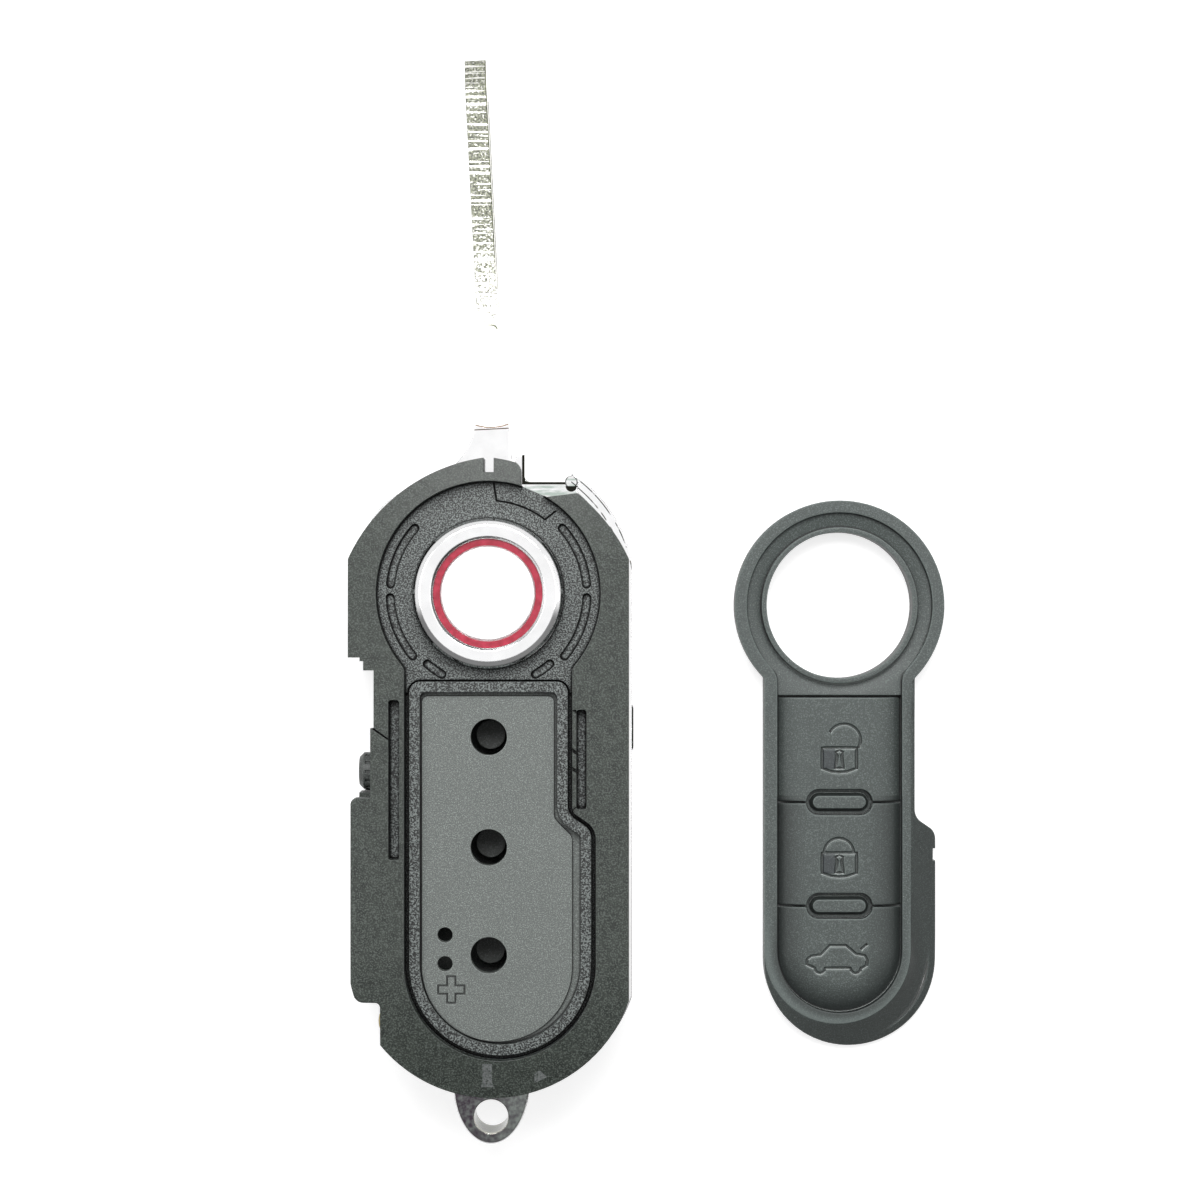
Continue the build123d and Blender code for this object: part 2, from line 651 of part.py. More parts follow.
def holder_sketch():
    """The drum with the flared neck, in the holder's own axes."""
    edge_r = math.hypot(HOLDER_OUT_U, FLARE_V)
    touch = math.atan2(FLARE_V, HOLDER_OUT_U) - math.acos(DRUM_R / edge_r)
    flare_u = HOLDER_IN_U - FLARE_R
    flare_mid_v = math.sqrt((DRUM_R + FLARE_R) ** 2 - flare_u**2)
    with BuildSketch() as holder:
        block(flare_u / 2, HOLDER_IN_U + RUN_GAP, FLARE_V, MOUTH_V)
        disc(flare_u, flare_mid_v, FLARE_R, Mode.SUBTRACT)
        Circle(DRUM_R)
        polygon(
            (0, 0),
            (DRUM_R * math.cos(touch), DRUM_R * math.sin(touch)),
            (HOLDER_OUT_U, FLARE_V),
            (HOLDER_OUT_U, MOUTH_V),
            (HOLDER_IN_U, MOUTH_V),
            (HOLDER_IN_U, 0),
        )
        disc(BLADE_U, MOUTH_V + MOUTH_ARC_R - MOUTH_ARC_D, MOUTH_ARC_R, Mode.SUBTRACT)
    return holder.sketch


def blade_pin_place():
    """The pin's place across the holder's neck."""
    return PIVOT_PLANE * Location((BLADE_U, PIN_V, BLADE_Z), (0, 90, 0))


with BuildPart() as blade_holder:
    with BuildSketch(PIVOT_PLANE.offset(HOLDER_Z)):
        add(holder_sketch())
    extrude(amount=DRUM_Z - HOLDER_Z)
    # full height only where the neck clears the button, with the blade open and folded
    with BuildSketch(PIVOT_PLANE.offset(HOLDER_Z)):
        add(holder_sketch())
        block(0, BIG, FLARE_V + 1, BIG, Mode.INTERSECT)
        disc(BUTTON_IN_HOLDER.X, BUTTON_IN_HOLDER.Y, SWEEP_R, Mode.SUBTRACT)
        disc(PIVOT_X, PIVOT_Y, SWEEP_R, Mode.SUBTRACT)
    extrude(amount=HOLDER_TOP_Z - HOLDER_Z)
    with BuildSketch(PIVOT_PLANE.offset(HOLDER_Z)):
        Circle(POST_R + RUN_GAP)
    extrude(amount=BIG, mode=Mode.SUBTRACT)
    with BuildSketch(PIVOT_PLANE.offset(HOLDER_Z)):
        ring(0, 0, SPRING_SPACE_OUT_R, SPRING_SPACE_IN_R)
    extrude(amount=SPRING_SPACE_Z - HOLDER_Z, mode=Mode.SUBTRACT)
    with BuildSketch(PIVOT_PLANE.offset(BLADE_Z - BLADE_W / 2)):
        half = BLADE_T / 2 + SLOT_FIT
        block(BLADE_U - half, BLADE_U + half, SHANK_V, BIG)
    extrude(amount=BLADE_W, mode=Mode.SUBTRACT)
    with Locations(blade_pin_place()):
        Cylinder(PIN_R, 4 * NECK_HALF_U, mode=Mode.SUBTRACT)

# Key blade
TIP_LEN = 3.2
TIP_HALF_W = 0.5
FULLER_V = 19.0
FULLER_HALF_W = 1.1
FULLER_D = 0.35

with BuildPart() as key_blade:
    with BuildSketch(PIVOT_PLANE.offset(BLADE_Z - BLADE_W / 2)):
        half = BLADE_T / 2
        block(BLADE_U - half, BLADE_U + half, SHANK_V + 2 * RUN_GAP, BLADE_TIP_V)
    extrude(amount=BLADE_W)
    # pointed tip, tapered from both edges
    side = Plane(
        origin=(PIVOT_PLANE * Location((BLADE_U - BLADE_T, 0, BLADE_Z))).position,
        x_dir=PIVOT_PLANE.y_dir,
        z_dir=PIVOT_PLANE.x_dir,
    )
    with BuildSketch(side):
        for s in (1, -1):
            polygon(
                (BLADE_TIP_V - TIP_LEN, s * BLADE_W / 2),
                (BLADE_TIP_V + 1, s * TIP_HALF_W),
                (BLADE_TIP_V + 1, s * BLADE_W),
                (BLADE_TIP_V - TIP_LEN, s * BLADE_W),
            )
    extrude(amount=3 * BLADE_T, mode=Mode.SUBTRACT)
    # shallow guide groove on each flat
    for u in (BLADE_U - BLADE_T / 2 - 1, BLADE_U + BLADE_T / 2 - FULLER_D):
        with BuildSketch(PIVOT_PLANE.offset(BLADE_Z - FULLER_HALF_W)):
            block(u, u + 1 + FULLER_D, FULLER_V, BLADE_TIP_V - TIP_LEN - 1)
        extrude(amount=2 * FULLER_HALF_W, mode=Mode.SUBTRACT)
    with Locations(blade_pin_place()):
        Cylinder(PIN_R, 4 * NECK_HALF_U, mode=Mode.SUBTRACT)

with BuildPart() as blade_pin:
    with Locations(blade_pin_place()):
        Cylinder(PIN_R, 2 * NECK_HALF_U - 2 * RUN_GAP)
        Cylinder(PIN_R / 2, 4 * NECK_HALF_U, mode=Mode.SUBTRACT)

# Springs, clip and plunger on the pivot
SPRING_PITCH = 1.0
SPRING_TURNS = 2.5
PLUNGER_R = POST_BORE_R - RUN_GAP
PLUNGER_Z = 6.2
PLUNGER_HOLE_R = 0.9
PLUNGER_HOLE_D = 3.0
RELEASE_COIL_R = 1.75
RELEASE_WIRE = 0.45
RELEASE_TOP_Z = PLUNGER_Z + 1.0
RELEASE_TURNS = 4


def square_coil(x, y, z, r, turns, height, wire):
    """A coil of square wire that stands on a height and winds about a vertical line."""
    coil = Helix(pitch=height / turns, height=height, radius=r, center=(x, y, z), mode=Mode.PRIVATE)
    with BuildPart() as spring:
        with BuildSketch(Plane(origin=coil @ 0, x_dir=(1, 0, 0), z_dir=coil % 0)):
            Rectangle(wire, wire)
        sweep(path=coil, is_frenet=True)
    return spring.part


with BuildPart() as flip_spring:
    add(
        square_coil(
            PIVOT_X,
            PIVOT_Y,
            BACK_Z + SPRING_WIRE / 2 + RUN_GAP,
            SPRING_R,
            SPRING_TURNS,
            SPRING_TURNS * SPRING_PITCH,
            SPRING_WIRE,
        )
    )

with BuildPart() as release_spring:
    add(
        square_coil(
            PIVOT_X,
            PIVOT_Y,
            FLOOR_T + RELEASE_WIRE / 2 + RUN_GAP,
            RELEASE_COIL_R,
            RELEASE_TURNS,
            RELEASE_TOP_Z - FLOOR_T - RELEASE_WIRE - 2 * RUN_GAP,
            RELEASE_WIRE,
        )
    )

with BuildPart() as pivot_clip:
    with BuildSketch(at(CLIP_Z)):
        ring(PIVOT_X, PIVOT_Y, POST_R + 1.3, CLIP_GROOVE_R)
        with Locations((PIVOT_X - POST_R, PIVOT_Y)):
            Rectangle(POST_R, CLIP_MOUTH, mode=Mode.SUBTRACT)
    extrude(amount=CLIP_T)

with BuildPart() as lock_plunger:
    with BuildSketch(at(PLUNGER_Z)):
        disc(PIVOT_X, PIVOT_Y, PLUNGER_R)
    extrude(amount=FOOT_PAD_Z - PLUNGER_Z)
    # ring groove for the spring in its foot, blind hole in its head
    with BuildSketch(at(PLUNGER_Z)):
        ring(PIVOT_X, PIVOT_Y, RELEASE_COIL_R + 0.6, RELEASE_COIL_R - 0.85)
    extrude(amount=RELEASE_TOP_Z - PLUNGER_Z, mode=Mode.SUBTRACT)
    with BuildSketch(at(FOOT_PAD_Z)):
        disc(PIVOT_X, PIVOT_Y, PLUNGER_HOLE_R)
    extrude(amount=-PLUNGER_HOLE_D, mode=Mode.SUBTRACT)

# Release button with its badge
CROWN_R = BUTTON_R - 0.75
SHOULDER_CUT = 0.25
CUP_R = BADGE_R + 1.05
BADGE_RING_T = 0.45
BADGE_T = 0.6

with BuildPart() as release_button:
    with BuildSketch(Plane.XZ):
        polygon(
            (CUP_R, FLANGE_Z),
            (FLANGE_R, FLANGE_Z),
            (FLANGE_R, FLANGE_Z + FLANGE_T),
            (BUTTON_R, FLANGE_Z + FLANGE_T),
            (BUTTON_R, BUTTON_TOP_Z - 3 * SHOULDER_CUT),
            (BUTTON_R - SHOULDER_CUT, BUTTON_TOP_Z - SHOULDER_CUT),
            (CROWN_R, BUTTON_TOP_Z),
            (BADGE_R + SHOULDER_CUT, BUTTON_TOP_Z),
            (BADGE_R, BUTTON_TOP_Z - SHOULDER_CUT),
            (BADGE_R, SEAT_Z),
            (0, SEAT_Z),
            (0, WEB_Z),
            (CUP_R, WEB_Z),
        )
    revolve(axis=Axis.Z)
    with BuildSketch(at(FOOT_PAD_Z)):
        disc(PIVOT_X, PIVOT_Y, FOOT_PAD_R)
    extrude(amount=FLANGE_Z + FLANGE_T - FOOT_PAD_Z)

with BuildPart() as badge_ring:
    with BuildSketch(at(SEAT_Z)):
        ring(0, 0, BADGE_R - TINY_GAP, BADGE_R - BADGE_RING_W)
    extrude(amount=BADGE_RING_T)

with BuildPart() as badge_disc:
    with BuildSketch(at(SEAT_Z)):
        Circle(BADGE_R - BADGE_RING_W - TINY_GAP)
    extrude(amount=BADGE_T)
    chamfer(badge_disc.faces().sort_by(Axis.Z)[-1].edges(), EDGE_CUT)

# Switch plate
PLATE_FLANGE_T = 0.9
PLATE_FLANGE_W = 0.8
PROBE_R = 0.84
PROBE_SPOTS = [(-4.78, -37.34), (-4.78, -40.49)]

with BuildPart() as switch_plate:
    with BuildSketch(at(PLATE_Z - PLATE_FLANGE_T)):
        add(WINDOW)
        offset(amount=PLATE_FLANGE_W)
    extrude(amount=PLATE_FLANGE_T)
    with BuildSketch(at(PLATE_Z)):
        add(plate_sketch())
    extrude(amount=PLATE_TOP_Z - PLATE_Z)
    with BuildSketch(at(PLATE_TOP_Z)):
        with Locations(*HOLE_SPOTS):
            Circle(HOLE_R)
        with Locations(*PROBE_SPOTS):
            Circle(PROBE_R)
    extrude(amount=-BIG, mode=Mode.SUBTRACT)

# Board tray
TRAY_FLOOR_T = 0.9
SWITCH_BOSS_R = 1.6
SWITCH_BOSS_H = 3.0

with BuildPart() as board_tray:
    with BuildSketch(at(BACK_Z)):
        add(WINDOW)
        offset(amount=PLATE_FLANGE_W)
    extrude(amount=PLATE_Z - PLATE_FLANGE_T - BACK_Z)
    with BuildSketch(at(BACK_Z + TRAY_FLOOR_T)):
        add(WINDOW)
        offset(amount=-2 * RUN_GAP)
    extrude(amount=BIG, mode=Mode.SUBTRACT)
    # bosses under the three switch holes
    with BuildSketch(at(BACK_Z + TRAY_FLOOR_T)):
        with Locations(*HOLE_SPOTS):
            Circle(SWITCH_BOSS_R)
    extrude(amount=SWITCH_BOSS_H)

# Battery tray
TRAY_TOP_Y = BAY_TOP_Y - SLIDE_GAP
TRAY_END_Y = BAY_END_Y + SLIDE_GAP
TRAY_CORNER_R = 4.0
CELL_X = TRAY_IN_X - 0.9 - CELL_R
CELL_Y = (TRAY_TOP_Y + TRAY_END_Y) / 2
CELL_FLOOR_T = 0.6
CELL_LEDGE_W = 2.5
GRIP_COUNT = 7
GRIP_PITCH = 1.4
GRIP_W = 0.6
GRIP_L = 2.4

with BuildPart() as battery_tray:
    with BuildSketch(at(TRAY_Z)) as tray:
        block(-BULGE_X, TRAY_IN_X, TRAY_END_Y, TRAY_TOP_Y)
        fillet(tray.vertices().group_by(Axis.X)[-1], TRAY_CORNER_R)
    extrude(amount=TRAY_TOP_Z - TRAY_Z)
    with BuildSketch(at(TRAY_Z + CELL_FLOOR_T)):
        disc(CELL_X, CELL_Y, CELL_R)
    extrude(amount=BIG, mode=Mode.SUBTRACT)
    with BuildSketch(at(TRAY_Z)):
        disc(CELL_X, CELL_Y, CELL_R - CELL_LEDGE_W)
    extrude(amount=BIG, mode=Mode.SUBTRACT)
    # grip grooves on the outer wall
    with BuildSketch(Plane(origin=(-BULGE_X, 0, 0), x_dir=(0, -1, 0), z_dir=(-1, 0, 0))):
        with Locations((-CELL_Y, (TRAY_Z + TRAY_TOP_Z) / 2)):
            with GridLocations(GRIP_PITCH, 1, GRIP_COUNT, 1):
                Rectangle(GRIP_W, GRIP_L)
    extrude(amount=-GAP, mode=Mode.SUBTRACT)

# Battery lock
LOCK_IN_X = -FINGER_X - TAB_W - 0.25
LOCK_HEAD_T = 2.0
LOCK_OUT_X = LOCK_IN_X - LOCK_HEAD_T
LOCK_SHAFT_L = 3.9
LOCK_END_X = LOCK_IN_X + LOCK_SHAFT_L
LOCK_CLIP_X = LOCK_IN_X + SKIN + TAB_W + 0.83
LOCK_CLIP_T = 0.4
LOCK_NECK_R = LOCK_SHAFT_R - 0.35
COIN_SLOT = (2.9, 0.8, 0.9)
LOCK_RIDGE_W = 0.35
LOCK_CUT = 0.5


def along_x(x):
    """A plane across the battery lock's axis, facing out of the left side."""
    return Plane(origin=(x, LOCK_Y, LOCK_Z), x_dir=(0, -1, 0), z_dir=(-1, 0, 0))


with BuildPart() as battery_lock:
    with BuildSketch(along_x(LOCK_IN_X)):
        Circle(LOCK_R)
    extrude(amount=LOCK_IN_X - LOCK_OUT_X)
    chamfer(battery_lock.faces().sort_by(Axis.X)[0].edges(), LOCK_CUT)
    with BuildSketch(along_x(LOCK_OUT_X)):
        Rectangle(COIN_SLOT[0], COIN_SLOT[1])
    extrude(amount=-COIN_SLOT[2], mode=Mode.SUBTRACT)
    with BuildSketch(along_x(LOCK_IN_X)):
        Circle(LOCK_SHAFT_R)
    extrude(amount=-(LOCK_END_X - LOCK_IN_X))
    with BuildSketch(along_x(LOCK_CLIP_X)):
        Circle(LOCK_SHAFT_R)
        Circle(LOCK_NECK_R, mode=Mode.SUBTRACT)
    extrude(amount=LOCK_CLIP_T, mode=Mode.SUBTRACT)
    # marks moulded round its head
    with BuildSketch(along_x(LOCK_IN_X - 2 * GAP)):
        with PolarLocations(LOCK_R, 12):
            Rectangle(LOCK_RIDGE_W, LOCK_RIDGE_W)
    extrude(amount=2 * LOCK_RIDGE_W, mode=Mode.SUBTRACT)

with BuildPart() as lock_clip:
    with BuildSketch(along_x(LOCK_CLIP_X)):
        Circle(LOCK_SHAFT_R + 0.4)
        Circle(LOCK_NECK_R, mode=Mode.SUBTRACT)
        with Locations((0, LOCK_R)):
            Rectangle(LOCK_SHAFT_R, 2 * LOCK_R, mode=Mode.SUBTRACT)
    extrude(amount=LOCK_CLIP_T)

# Anti-rattle leaf beside the folded blade's tip
LEAF_T = 0.24
LEAF_W = 3.6
LEAF_Z = 8.2
LEAF_BOW = 0.53
LEAF_BOW_L = 3.0
LEAF_END_L = 0.8

with BuildPart() as tip_spring:
    with BuildSketch(at(LEAF_Z)):
        x = -GROOVE_X - LEAF_T / 2
        end_y = GROOVE_END_Y + 0.5
        with BuildLine() as leaf:
            foot = Line((x, end_y + LEAF_BOW_L + LEAF_END_L), (x, end_y + LEAF_BOW_L))
            ThreePointArc(foot @ 1, (x - LEAF_BOW, end_y + LEAF_BOW_L / 2), (x, end_y))
        trace(leaf.edges(), line_width=LEAF_T)
    extrude(amount=LEAF_W)

# Case screws
SCREW_Z = 0.25
SCREW_LEN = 9.5
DRIVE_L = 1.6
DRIVE_W = 0.35

with BuildPart() as case_screws:
    with BuildSketch(at(SCREW_Z)):
        with Locations(*SCREW_SPOTS):
            Circle(SCREW_HEAD_R)
    extrude(amount=COUNTERBORE_D - SCREW_Z)
    with BuildSketch(at(SCREW_Z)):
        with Locations(*SCREW_SPOTS):
            Rectangle(DRIVE_L, DRIVE_W)
            Rectangle(DRIVE_W, DRIVE_L)
    extrude(amount=COUNTERBORE_D / 2, mode=Mode.SUBTRACT)
    with BuildSketch(at(COUNTERBORE_D)):
        with Locations(*SCREW_SPOTS):
            Circle(SCREW_R)
    extrude(amount=SCREW_LEN)

# Rubber keypad, lying face up beside the fob
PAD_AT = Plane(origin=(PAD_X, PAD_Y, 0))
PAD_SLOPE = 55.0
PAD_CREST_X = NECK_X - 1.1
PAD_LIP_R = PAD_RING_R - 1.35
PAD_HOLE_LIP_R = PAD_HOLE_R + 0.55
PAD_RING_Z = 2.8
PAD_FUNNEL_Z = 2.4
PAD_NECK_FILLET = 2.4
PAD_FLOOR_Z = 1.5
PILLOW_X = NECK_X - 2.05
PILLOW_TOP_Y = RIB_TOP_Y - 0.6
PILLOW_Z = 3.0
PILLOW_FALL_W = 3.6
PILLOW_SLOPE = 32.0
PILLOW_R = PILLOW_FALL_W / math.sin(math.radians(PILLOW_SLOPE))
CREASE_W = 0.3
CREASE_Z = 1.9
CREASES = [-22.4, -34.2]
BAR_L = 7.6
BAR_W = 3.0
BAR_INSET = 0.45
BAR_TAPER = 18.0
PEG_R = 1.6
PEG_Z = 0.3
NICK_L = 1.4
NICK_D = 0.3
NICK_DROP = 2.95


def pad_sketch():
    """The keypad outline, a little inside the recess it belongs in."""
    edge_x = RECESS_FOOT_X + RECESS_FOOT_R - PAD_FIT
    nick_y = STEP_TOP_Y - STEP_RISE - NICK_DROP
    with BuildSketch() as pad:
        add(RECESS)
        offset(amount=-PAD_FIT)
        block(edge_x - NICK_D, BIG, nick_y - NICK_L / 2, nick_y + NICK_L / 2, Mode.SUBTRACT)
        Circle(PAD_RING_R)
    return pad.sketch


def keyhole_sketch(ring_r, left_x, right_x, neck_r):
    """A disc that runs into a band with a round foot, its neck corners rounded."""
    with BuildSketch() as keyhole:
        Circle(ring_r)
        block(left_x, right_x, FOOT_Y, 0)
        disc((left_x + right_x) / 2, FOOT_Y, (right_x - left_x) / 2)
        for x in (left_x, right_x):
            fillet(corner(keyhole, x, -math.sqrt(ring_r**2 - x**2)), neck_r)
    return keyhole.sketch


def hollow_sketch():
    """The sunk area inside the crest, from the ring down to the foot."""
    return keyhole_sketch(PAD_LIP_R, -PILLOW_X, PILLOW_X, PAD_NECK_FILLET)


def pillow():
    """The raised middle of the keypad, level along the top and falling away round its edge."""
    across = Plane(origin=(0, FOOT_Y, 0), x_dir=(1, 0, 0), z_dir=(0, -1, 0))
    level_x = PILLOW_X - PILLOW_FALL_W
    with BuildPart() as mound:
        with BuildSketch(across) as half:
            with BuildLine():
                fall = CenterArc((level_x, PILLOW_Z - PILLOW_R), PILLOW_R, 90, -PILLOW_SLOPE)
                Polyline(
                    fall @ 1,
                    (PILLOW_X + GAP, (fall @ 1).Y),
                    (PILLOW_X + GAP, 0),
                    (0, 0),
                    (0, PILLOW_Z),
                    fall @ 0,
                )
            make_face()
        revolve(axis=Axis((0, FOOT_Y, 0), (0, 0, 1)))
        with BuildSketch(across):
            add(half.sketch_local)
            mirror(about=Plane.YZ)
        extrude(amount=FOOT_Y - PILLOW_TOP_Y)
    return mound.part


def pillow_space():
    """The space to clear over the pillow, inside the crest."""
    with BuildPart() as space:
        with BuildSketch(at(PAD_FLOOR_Z)):
            add(hollow_sketch())
            block(-BIG, BIG, -BIG, PILLOW_TOP_Y, Mode.INTERSECT)
        extrude(amount=PAD_H)
        add(pillow(), mode=Mode.SUBTRACT)
    return space.part.moved(PAD_AT.location)


with BuildPart() as rubber_keypad:
    with BuildSketch(PAD_AT.offset(PAD_H)):
        add(keyhole_sketch(PAD_RING_R, -NECK_X + PAD_FIT, PAD_CREST_X, PAD_NECK_FILLET / 2))
    extrude(amount=-PAD_H, taper=-PAD_SLOPE)
    with BuildSketch(PAD_AT):
        add(pad_sketch())
        Circle(PAD_HOLE_R, mode=Mode.SUBTRACT)
    extrude(amount=PAD_H, mode=Mode.INTERSECT)
    # sunk floor round the hole's lip, sloping down to it
    with BuildSketch(PAD_AT.offset(PAD_RING_Z)):
        add(hollow_sketch())
        Circle(PAD_HOLE_LIP_R, mode=Mode.SUBTRACT)
        block(-BIG, BIG, PILLOW_TOP_Y, BIG, Mode.INTERSECT)
    extrude(amount=BIG, mode=Mode.SUBTRACT)
    with BuildSketch(Plane(origin=PAD_AT.origin, x_dir=(1, 0, 0), z_dir=(0, -1, 0))):
        polygon(
            (PAD_HOLE_LIP_R, PAD_FUNNEL_Z),
            (PAD_LIP_R, PAD_RING_Z),
            (PAD_HOLE_LIP_R, PAD_RING_Z + GAP),
        )
    revolve(axis=Axis(PAD_AT.origin, (0, 0, 1)), mode=Mode.SUBTRACT)
    add(pillow_space(), mode=Mode.SUBTRACT)
    # creases between the pads, each round a raised bar
    with BuildSketch(PAD_AT.offset(CREASE_Z)):
        for y in CREASES:
            block(-PILLOW_X, PILLOW_X, y - CREASE_W / 2, y + CREASE_W / 2)
            with Locations((0, y)):
                SlotOverall(BAR_L, BAR_W)
        block(-PILLOW_X, PILLOW_X, PILLOW_TOP_Y - CREASE_W, PILLOW_TOP_Y)
    extrude(amount=PAD_H, mode=Mode.SUBTRACT)
    with BuildSketch(PAD_AT.offset(CREASE_Z)):
        with Locations(*[(0, y) for y in CREASES]):
            SlotOverall(BAR_L - 2 * BAR_INSET, BAR_W - 2 * BAR_INSET)
    extrude(amount=PILLOW_Z - CREASE_Z, taper=BAR_TAPER)
    # hollow underneath, with a peg for each switch
    with BuildSketch(PAD_AT):
        add(WINDOW)
        offset(amount=SLIDE_GAP)
    extrude(amount=PAD_FLOOR_Z, mode=Mode.SUBTRACT)
    with BuildSketch(PAD_AT.offset(PEG_Z)):
        with Locations(*HOLE_SPOTS):
            Circle(PEG_R)
    extrude(amount=PAD_FLOOR_Z - PEG_Z + RUN_GAP)

PARTS = {
    "front_cover": front_cover,
    "back_cover": back_cover,
    "carrier_frame": carrier_frame,
    "blade_holder": blade_holder,
    "key_blade": key_blade,
    "blade_pin": blade_pin,
    "flip_spring": flip_spring,
    "pivot_clip": pivot_clip,
    "lock_plunger": lock_plunger,
    "release_spring": release_spring,
    "release_button": release_button,
    "badge_ring": badge_ring,
    "badge_disc": badge_disc,
    "switch_plate": switch_plate,
    "board_tray": board_tray,
    "battery_tray": battery_tray,
    "battery_lock": battery_lock,
    "lock_clip": lock_clip,
    "tip_spring": tip_spring,
    "case_screws": case_screws,
    "rubber_keypad": rubber_keypad,
}

os.makedirs("parts", exist_ok=True)
for name, piece in PARTS.items():
    piece.part.label = name
    export_step(piece.part, f"parts/{name}.step")
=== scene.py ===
"""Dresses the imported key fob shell: its materials, engraved symbols, stage and camera."""

import json
import math

import bmesh
import bpy
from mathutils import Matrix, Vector


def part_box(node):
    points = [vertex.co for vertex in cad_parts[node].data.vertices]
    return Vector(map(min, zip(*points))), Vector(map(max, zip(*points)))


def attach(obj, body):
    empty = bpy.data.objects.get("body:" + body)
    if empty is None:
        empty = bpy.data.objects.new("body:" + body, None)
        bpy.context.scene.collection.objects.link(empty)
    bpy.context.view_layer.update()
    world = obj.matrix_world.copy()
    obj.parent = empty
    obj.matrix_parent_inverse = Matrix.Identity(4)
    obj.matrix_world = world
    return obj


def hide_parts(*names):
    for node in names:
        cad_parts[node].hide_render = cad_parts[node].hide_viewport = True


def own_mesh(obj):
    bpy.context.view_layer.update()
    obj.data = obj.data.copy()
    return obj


MM = 0.001

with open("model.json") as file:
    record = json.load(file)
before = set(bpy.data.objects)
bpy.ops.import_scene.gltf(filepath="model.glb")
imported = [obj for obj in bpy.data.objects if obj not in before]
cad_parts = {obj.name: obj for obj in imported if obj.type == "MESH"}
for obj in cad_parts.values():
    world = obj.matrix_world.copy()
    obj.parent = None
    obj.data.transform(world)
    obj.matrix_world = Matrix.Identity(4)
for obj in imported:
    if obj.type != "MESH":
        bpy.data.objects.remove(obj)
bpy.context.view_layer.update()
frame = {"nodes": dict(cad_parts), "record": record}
NODES = frame["nodes"]

# Camera and stage, from the photograph
VIEW_X = 12.17 * MM
VIEW_Y = -0.71 * MM
RIM_Z = 17.0 * MM
CAMERA_HEIGHT = 300.0 * MM
FRAME_WIDTH = 130.4 * MM
SENSOR = 36.0
NEAR_CLIP = 10 * MM
SKY_LEVEL = 0.22
FLOOR_HALF = 1.2
FLOOR_DROP = 0.02 * MM
FLOOR_GREY = 0.6
FLOOR_GLOW = 0.7
# The name, place, width and power of each lamp
LAMPS = (
    ("key_light", (0.0, 0.28, 0.52), 0.3, 2.8),
    ("left_fill", (-0.28, 0.06, 0.42), 0.25, 0.45),
    ("right_fill", (0.30, 0.06, 0.42), 0.25, 0.45),
)

# The case's sunk face, and the gate marks in its rim
SUNK_FOOT_Y = -39.5 * MM
SUNK_R = 12.3 * MM
SUNK_LOW_Z = 14.45 * MM
SUNK_TOP_Z = 15.93 * MM
GATE_X = -0.11 * MM
GATE_HALF_W = 0.52 * MM
GATE_FLARE = 0.18 * MM
GATE_TOP_Y = -51.2 * MM
GATE_FLARE_Y = -53.2 * MM
GATE_END_Y = -53.8 * MM
GATE_LOW_Z = 15.0 * MM
CORNER_MARK_X = 5.03 * MM
CORNER_MARK_Y = -52.0 * MM
# The slope of each slanting side of the corner mark, and a point on it
CORNER_MARK_UPPER = ((1.0, 5.03 * MM, -52.4 * MM), (-0.97, 5.76 * MM, -52.07 * MM))
CORNER_MARK_LOWER = (0.48, 5.16 * MM, -53.3 * MM)

# The blade and the end of the neck that grips it
BLADE_LEAN = 0.0513
BLADE_MID_X = 1.34 * MM
BLADE_EDGE = 1.08 * MM
EDGE_LINE_Y = (33.0 * MM, 38.0 * MM)
MILL_START_Y = 29.0 * MM
MILL_FULL_Y = 42.0 * MM
TIP_START_Y = 55.9 * MM
TIP_SPAN = 0.3 * MM
MARK_X = 0.2 * MM
MARK_Y = 28.75 * MM
MARK_RING = (0.66 * MM, 0.82 * MM)
MARK_CUT = 0.3 * MM
MARK_FADE_X = (-0.8 * MM, 0.5 * MM)
MOUTH_X = 0.412 * MM
MOUTH_Y = 18.663 * MM
MOUTH_LOW_Z = 12.0 * MM
MOUTH_ARC_R = 5.0 * MM
MOUTH_ARC_D = 0.4 * MM
MOUTH_ARC_LINE = (-0.04 * MM, 0.10 * MM)
MOUTH_LINE_V = (-0.68 * MM, -0.57 * MM)

# The chrome band: its shoulder, horn, rib, seams and key-ring lug
SHOULDER_Y = 12.23 * MM
SHOULDER_SPAN_X = (3.9 * MM, 9.6 * MM)
SHOULDER_SPAN_Y = (9.0 * MM, 12.6 * MM)
SHOULDER_LINE = (-0.27 * MM, 0.1 * MM)
HORN_IN_X = 3.62 * MM
HORN_TOP_Y = 15.2 * MM
HORN_LINE_W = 0.35 * MM
HORN_LINE_LAP = 0.2 * MM
RIB_X = 9.02 * MM
RIB_CLEAR = 0.65 * MM
RIB_SHADE_R = 0.62 * MM
RIB_SHADE_DOWN = 0.45 * MM
RIB_RING = (0.56 * MM, 0.72 * MM)
SEAM_R = (15.92 * MM, 15.2 * MM)
SEAM_HALF_W = 0.06 * MM
SEAM_LOW_Z = 8.0 * MM
LUG_START_Y = -55.15 * MM
LUG_X = 0.1 * MM
LUG_HOLE_Y = -58.0 * MM
LUG_HOLE_R = 1.9 * MM
LUG_HOLE_EDGE = 0.15 * MM
LUG_Z = (5.8 * MM, 10.6 * MM)
LUG_REFLECTION_RISE = 0.035 / MM

# The keypad, in millimetres from the centre of its ring
PAD_X = 39.4
PAD_Y = -1.3
PAD_FOOT_Y = -39.23
PILLOW_Z = 3.0
PILLOW_LEVEL_X = 3.5
PILLOW_R = 6.794
PILLOW_EDGE = 7.15
PILLOW_TOP_Y = -21.7
CREST_IN = 7.2
CREST_OUT = 8.7
FOOT_FADE = 6.0
STROKE_R = 0.22
STROKE_STEP = 0.5
LOCK_HALF_W = 1.95
